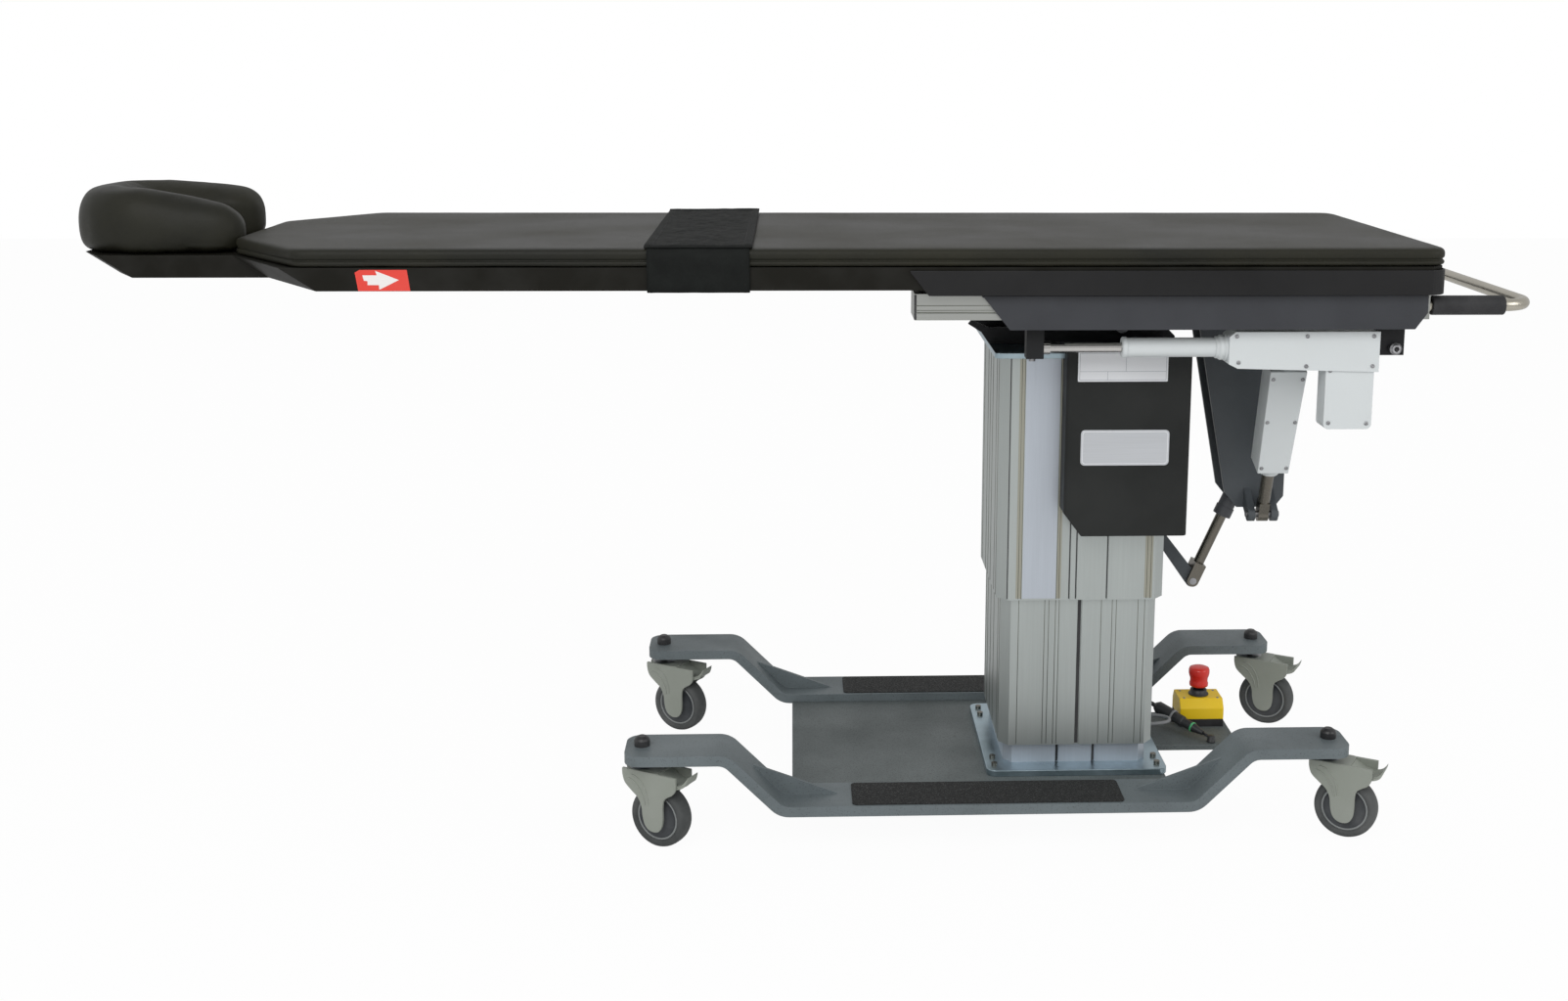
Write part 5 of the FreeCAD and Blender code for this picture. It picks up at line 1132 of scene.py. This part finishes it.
# %% Plates
def rounded(x0, z0, x1, z1, radius, steps=6):
    """A rectangle with round corners."""
    line = []
    for cx, cz, start in ((x1 - radius, z1 - radius, 0), (x0 + radius, z1 - radius, 90),
                          (x0 + radius, z0 + radius, 180), (x1 - radius, z0 + radius, 270)):
        for step in range(steps + 1):
            angle = math.radians(start + 90 * step / steps)
            line.append((cx + radius * math.cos(angle), cz + radius * math.sin(angle)))
    return line


box_front = -185.0
rating = slab(rounded(429, 733, 572, 781, 1.5), box_front, box_front - 0.7, facing_you)
piece_of("rating_plate", joined([rating]), "plate_white", "upper_stage", "plate_white", ["box_plates"],
         smooth=False)
rules = [(431.5, 735.5, 569.5, 736.1), (431.5, 778.0, 569.5, 778.6), (431.5, 735.5, 432.1, 778.6),
         (568.9, 735.5, 569.5, 778.6), (431.5, 749.0, 569.5, 749.5), (476.0, 735.5, 476.5, 749.5),
         (505.0, 749.5, 505.5, 778.6)]
rule_parts = [slab(rectangle(*rule), box_front - 0.6, box_front - 0.85, facing_you) for rule in rules]
piece_of("rating_plate_rules", joined(rule_parts), "plate_line", "upper_stage", "plate_white", smooth=False)

name_face = box_front - 1.4
drawn_metal("name_brushed", (208, 211, 215), "x", 0.34, 0.01, 0.9, 600)
name_body = slab(rounded(436, 597, 578, 655, 7), box_front, name_face, facing_you)
name_plate = piece_of("name_plate", joined([name_body]), "name_brushed", "upper_stage", "plate_white",
                      ["box_plates"], smooth=False)
beveled(name_plate, 0.6)
rim_line = [Vector((x, name_face, z)) for x, z in rounded(439, 600, 575, 652, 5)]
piece_of("name_plate_rim", joined([pipe(rim_line + rim_line[:2], 0.7, 6)]), "plate_white", "upper_stage",
         "plate_white")

# %% Arrow label
pan_side = -302.0
label = [(-664, 922), (-657, 926), (-588, 926), (-584, 894.6), (-660, 894.6)]
arrow = [(-653, 918.0), (-632, 918.0), (-634, 924.6), (-600, 911.0), (-629, 896.6), (-629.5, 903.5),
         (-646, 903.5), (-646, 909.5), (-651, 910.0)]
for name, outline, back, front, finish in (("arrow_label", label, 0.1, -0.35, "label_red"),
                                           ("arrow_mark", arrow, -0.3, -0.6, "label_white")):
    piece_of(name, joined([slab(outline, pan_side + back, pan_side + front, facing_you)]), finish,
             "table_top", "pan_black", smooth=False)

# %% [markdown]
# ## Soft edges on sheet and cast parts
# The engineering model's edges are perfectly sharp, and a sharp edge never catches the light. These parts
# get a copy of their own mesh, merged, with a narrow bevel on every edge that turns sharply. The copy
# keeps the size, and stands for the part it was made from.

# %% Soften edges
edge_widths = {"slide_housing": 2.2, "roll_ram_housing": 2.2, "control_box": 1.2, "estop_cover": 1.8,
               "estop_base": 0.8, "subframe": 1.2, "side_covers": 0.7, "base_rails": 1.6, "base_deck": 1.0,
               "column_flange": 0.9, "column_top_plate": 0.9, "v_bracket": 0.9, "ram_arm": 1.0,
               "handle_grips": 1.5, "table_pan": 1.0, "slide_rod_bracket": 0.9}
body_of_node = {node: body for body, held in frame["record"]["behaviour"]["bodies"].items() for node in held}


def softened(node, width_mm):
    work = bmesh.new()
    work.from_mesh(nodes[node].data)
    bmesh.ops.remove_doubles(work, verts=work.verts, dist=0.01 * MM)
    bmesh.ops.dissolve_limit(work, angle_limit=math.radians(0.5), verts=work.verts, edges=work.edges)
    mesh = bpy.data.meshes.new(node + "_soft")
    work.to_mesh(mesh)
    work.free()
    mesh.materials.clear()
    for polygon in mesh.polygons:
        polygon.material_index = 0
    piece = piece_of(node + "_soft", mesh, finish_names[node], body_of_node[node], slots[node], [node],
                     smooth=False)
    beveled(piece, width_mm, 32)
    low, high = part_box(node)
    spots = [vertex.co for vertex in piece.data.vertices]
    worst = max(max(low[axis] - spot[axis], spot[axis] - high[axis]) for axis in range(3) for spot in spots)
    print(piece.name, "reaches past the part by", round(worst / MM, 3), "mm")


for node, width_mm in edge_widths.items():
    softened(node, width_mm)

# %% [markdown]
# ## Screws
# The two light-grey actuator cases are held by small pan-head screws, and so is the stop button's cover.
# Each screw sits on its own face, with its own turn, because nobody lines them up.

# %% Screws on the cases
random.seed(4)


def screw_spots(places, facing):
    """Places for screws on one face, each with a turn of its own."""
    facing = Vector(facing).normalized()
    side = facing.orthogonal().normalized()
    other = facing.cross(side)
    spots = []
    for place in places:
        angle = random.uniform(0, math.pi)
        spots.append((Vector(place), facing, side * math.cos(angle) + other * math.sin(angle)))
    return spots


case_y, motor_y, towards_you = -275.0, -272.0, (0, -1, 0)
case_places = [(661.0, 778.5), (657.0, 819.0)] + [(x, z) for x in (766.0, 869.0) for z in (772.5, 819.0)]
motor_places = [(804.5, 765.0), (805.5, 683.0), (865.0, 682.0)]
case_screws = screw_spots([(x, case_y, z) for x, z in case_places], towards_you)
motor_screws = screw_spots([(x, motor_y, z) for x, z in motor_places], towards_you)
set_out_on("slide_case_screws", case_screws + motor_screws, screw, "bolt_steel", "table_top", "actuator_grey")

ram_foot, ram_eye, ram_half_deep = Vector((765.0, -65.0, 484.0)), Vector((765.0, -178.5, 794.6)), 25.0
ram_way = (ram_eye - ram_foot).normalized()
ram_front = Vector((0, -ram_way.z, ram_way.y))
ram_places = [ram_foot + ram_way * along + ram_front * ram_half_deep + Vector((side * half, 0, 0))
              for along, half in ((108.0, 20.5), (196.0, 22.5), (276.0, 23.5)) for side in SIDES]
set_out_on("roll_case_screws", screw_spots(ram_places, ram_front), screw, "bolt_steel", "roll_ram",
           "actuator_grey")

cover_places = [(stop_x + side * 30.0, y, 109.0) for side in SIDES for y in (70.0, 106.0)]
set_out_on("stop_cover_screws", screw_spots(cover_places, UP), screw, "bolt_steel", "base", "stop_yellow",
           size=0.7)

# %% [markdown]
# ## Ends of the slide actuator
# The actuator's tube has a collar at its nose and a stepped one where it leaves the case, and a bolt head
# shows in its rear eye. All three are turned.

# %% Collars on the slide actuator
slide_y, slide_z = -252.0, 799.0
collars = {
    "slide_tube_nose": [(8.2, 484.2), (15.2, 484.2), (16.6, 485.4), (16.8, 490.5), (15.6, 492.0),
                        (14.8, 492.0)],
    "slide_tube_root": [(14.8, 628.0), (16.0, 628.0), (17.2, 629.4), (17.2, 633.0), (18.6, 634.0),
                        (19.6, 636.0), (19.6, 640.0), (18.8, 641.4), (20.8, 642.6), (20.8, 647.0),
                        (15.0, 647.5)],
}
for name, profile in collars.items():
    collar = turned(profile, 48, (0, slide_y, slide_z), (1, 0, 0))
    piece_of(name, collar, "actuator_grey", "table_top", "actuator_grey")

# %% Bolt in the actuator's rear eye
eye_low, eye_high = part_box("slide_clevis")
eye_face = Vector(((eye_low[0] + eye_high[0]) / 2 / MM + 4, eye_low[1] / MM, slide_z))
bolt_profile = [(0, 1.2), (3.4, 1.2), (3.8, 5.0), (6.2, 5.2), (6.8, 4.4), (6.8, 0.6), (9.4, 0.4), (9.4, -0.5),
                (0, -0.5)]
eye_bolt = turned(bolt_profile, 30, eye_face, towards_you, [1] * 2 + [0] * 6)
piece_of("slide_eye_bolt", eye_bolt, ["bolt_steel", "stop_black"], "table_top", "bolt_steel")

# %% [markdown]
# ## Leads
# Two short leads leave the column's foot. One runs to a connector that lies on the base, the other loops
# back into the column. A lead is a smooth spline through the same points as in the engineering model, with
# a round bevel.

# %% Leads
def lead(name, route, radius, finish, stands_for):
    curve = bpy.data.curves.new(name, "CURVE")
    curve.dimensions = "3D"
    curve.resolution_u = 16
    curve.bevel_depth = radius * MM
    curve.bevel_resolution = 5
    spline = curve.splines.new("NURBS")
    spline.points.add(len(route) - 1)
    for point, spot in zip(spline.points, route):
        point.co = (*(Vector(spot) * MM), 1)
    spline.order_u = 3
    spline.use_endpoint_u = True
    curve.materials.append(finishes[finish])
    return noted(placed(name, curve), "base", finish, [stands_for])


boot, nose = Vector((628, 78, 92)), Vector((696, -2, 71))
lead_way = (nose - boot).normalized()
last_bend = boot - lead_way * 18
first_bend = last_bend - (lead_way + Vector((1, 0, 0))).normalized() * 20
gland_end = 579.0
boot_route = [(gland_end, first_bend.y, first_bend.z), first_bend, last_bend, boot]
boot_lead = lead("boot_lead", boot_route, 4.0, "lead_black", "lead_cable")
loop_route = [(gland_end, 46, 88), (641, 46, 88), (641, 0, 88), (gland_end, 0, 88)]
loop_lead = lead("grey_loop_lead", loop_route, 3.0, "lead_grey", "loop_lead")
print("leads", boot_lead.name, loop_lead.name)

# %% Tail, grommet and connector rings
tail_long, tail_thick, deck_top = 17.0, 2.5, 60.0
tail_line = [nose + lead_way * along for along in (0, tail_long / 2, tail_long)]
piece_of("thin_tail", joined([pipe(tail_line, tail_thick, 14)]), "lead_black", "base", "lead_black")
tail_end = nose + lead_way * (tail_long + 1)
grommet_high = tail_end.z + 4.4 - deck_top
grommet_profile = [(0, 0), (7.4, 0), (7.4, 2.2), (6.4, 3.2), (6.2, grommet_high - 1.4), (5.0, grommet_high),
                   (0, grommet_high)]
piece_of("tail_grommet", turned(grommet_profile, 32, (tail_end.x, tail_end.y, deck_top), UP), "lead_black",
         "base", "lead_black")
for shade, along, wide, finish in (("grey", 41.0, 11.2, "lead_grey"), ("green", 84.0, 8.7, "mark_green")):
    ring_profile = [(wide - 2, -1.8), (wide, -1.8), (wide + 0.3, 0), (wide, 1.8), (wide - 2, 1.8)]
    ring = turned(ring_profile, 40, boot + lead_way * along, lead_way)
    piece_of(f"connector_ring_{shade}", ring, finish, "base", "lead_black")

# %% [markdown]
# ## Hand the pieces over
# Every piece is parented to the body it rides on, and the engineering parts that it stands for are hidden.
# The slot that each piece noted is taken off and not used.

# %% Hand the pieces over
def hand_over(piece):
    body, slot, stands_for = piece.pop("body"), piece.pop("slot"), list(piece.pop("stands_for"))
    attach(piece, body)
    if stands_for:
        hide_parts(*stands_for)


for piece in list(bpy.context.scene.objects):
    if "stands_for" in piece:
        hand_over(piece)

# %% [markdown]
# ## Floor, light and air
# Product pictures stand on white paper. The floor is a flat matte sheet that glows nearly white where the
# camera looks at it. The world is white where the camera or a glass looks at it, and softer where it
# lights the table. One broad lamp above the camera and a weaker one from the right keep the faces apart.

# %% Paper floor
floor_rim = 9.0
floor_mesh = bpy.data.meshes.new("paper_floor")
floor_mesh.from_pydata([(x, y, 0) for x, y in rectangle(-floor_rim, -floor_rim, floor_rim, floor_rim)], [],
                       [(0, 1, 2, 3)])
floor = placed("paper_floor", floor_mesh)
paper = Finish("paper", Base_Color=(0.9, 0.9, 0.9, 1), Roughness=0.9, Specular_Ior_Level=0.0)
seen = paper.node("ShaderNodeLightPath", {}, {}, "Is Camera Ray")
glow = paper.node("ShaderNodeEmission", {}, {"Color": (1, 1, 1, 1), "Strength": 1.0})
surface = Wire(paper, paper.shader.outputs["BSDF"])
mixed = paper.node("ShaderNodeMixShader", {}, {0: 0.96 * seen, 1: surface, 2: glow})
paper.plug(paper.tree.nodes["Material Output"].inputs["Surface"], mixed)
floor_mesh.materials.append(paper.material)

# %% World and lamps
world = bpy.data.worlds.new("studio")
bpy.context.scene.world = world
world.use_nodes = True
sky = Bench(world.node_tree)
looked_at = sky.node("ShaderNodeLightPath", {}, {}, "Is Camera Ray")
looked_through = sky.node("ShaderNodeLightPath", {}, {}, "Is Transmission Ray")
either = sky.node("ShaderNodeMath", {"operation": "MAXIMUM"}, {0: looked_at, 1: looked_through})
strength = sky.node("ShaderNodeMapRange", {}, {"Value": either, "To Min": 0.62, "To Max": 1.0})
background = sky.tree.nodes["Background"].inputs
sky.plug(background["Color"], (1, 1, 1, 1))
sky.plug(background["Strength"], strength)


def lamp(name, place, aim, size, watts):
    data = bpy.data.lights.new(name, "AREA")
    data.shape, data.size, data.energy = "SQUARE", size, watts
    light = placed(name, data)
    light.rotation_euler = (Vector(aim) - Vector(place)).to_track_quat("-Z", "Y").to_euler()
    light.location = place


lamp("key_lamp", (-0.9, -3.2, 3.0), (0.1, 0, 0.6), 2.2, 62)
lamp("side_lamp", (3.2, -1.8, 1.9), (0.2, 0, 0.6), 1.6, 20)
bpy.context.scene.view_settings.view_transform = "Standard"
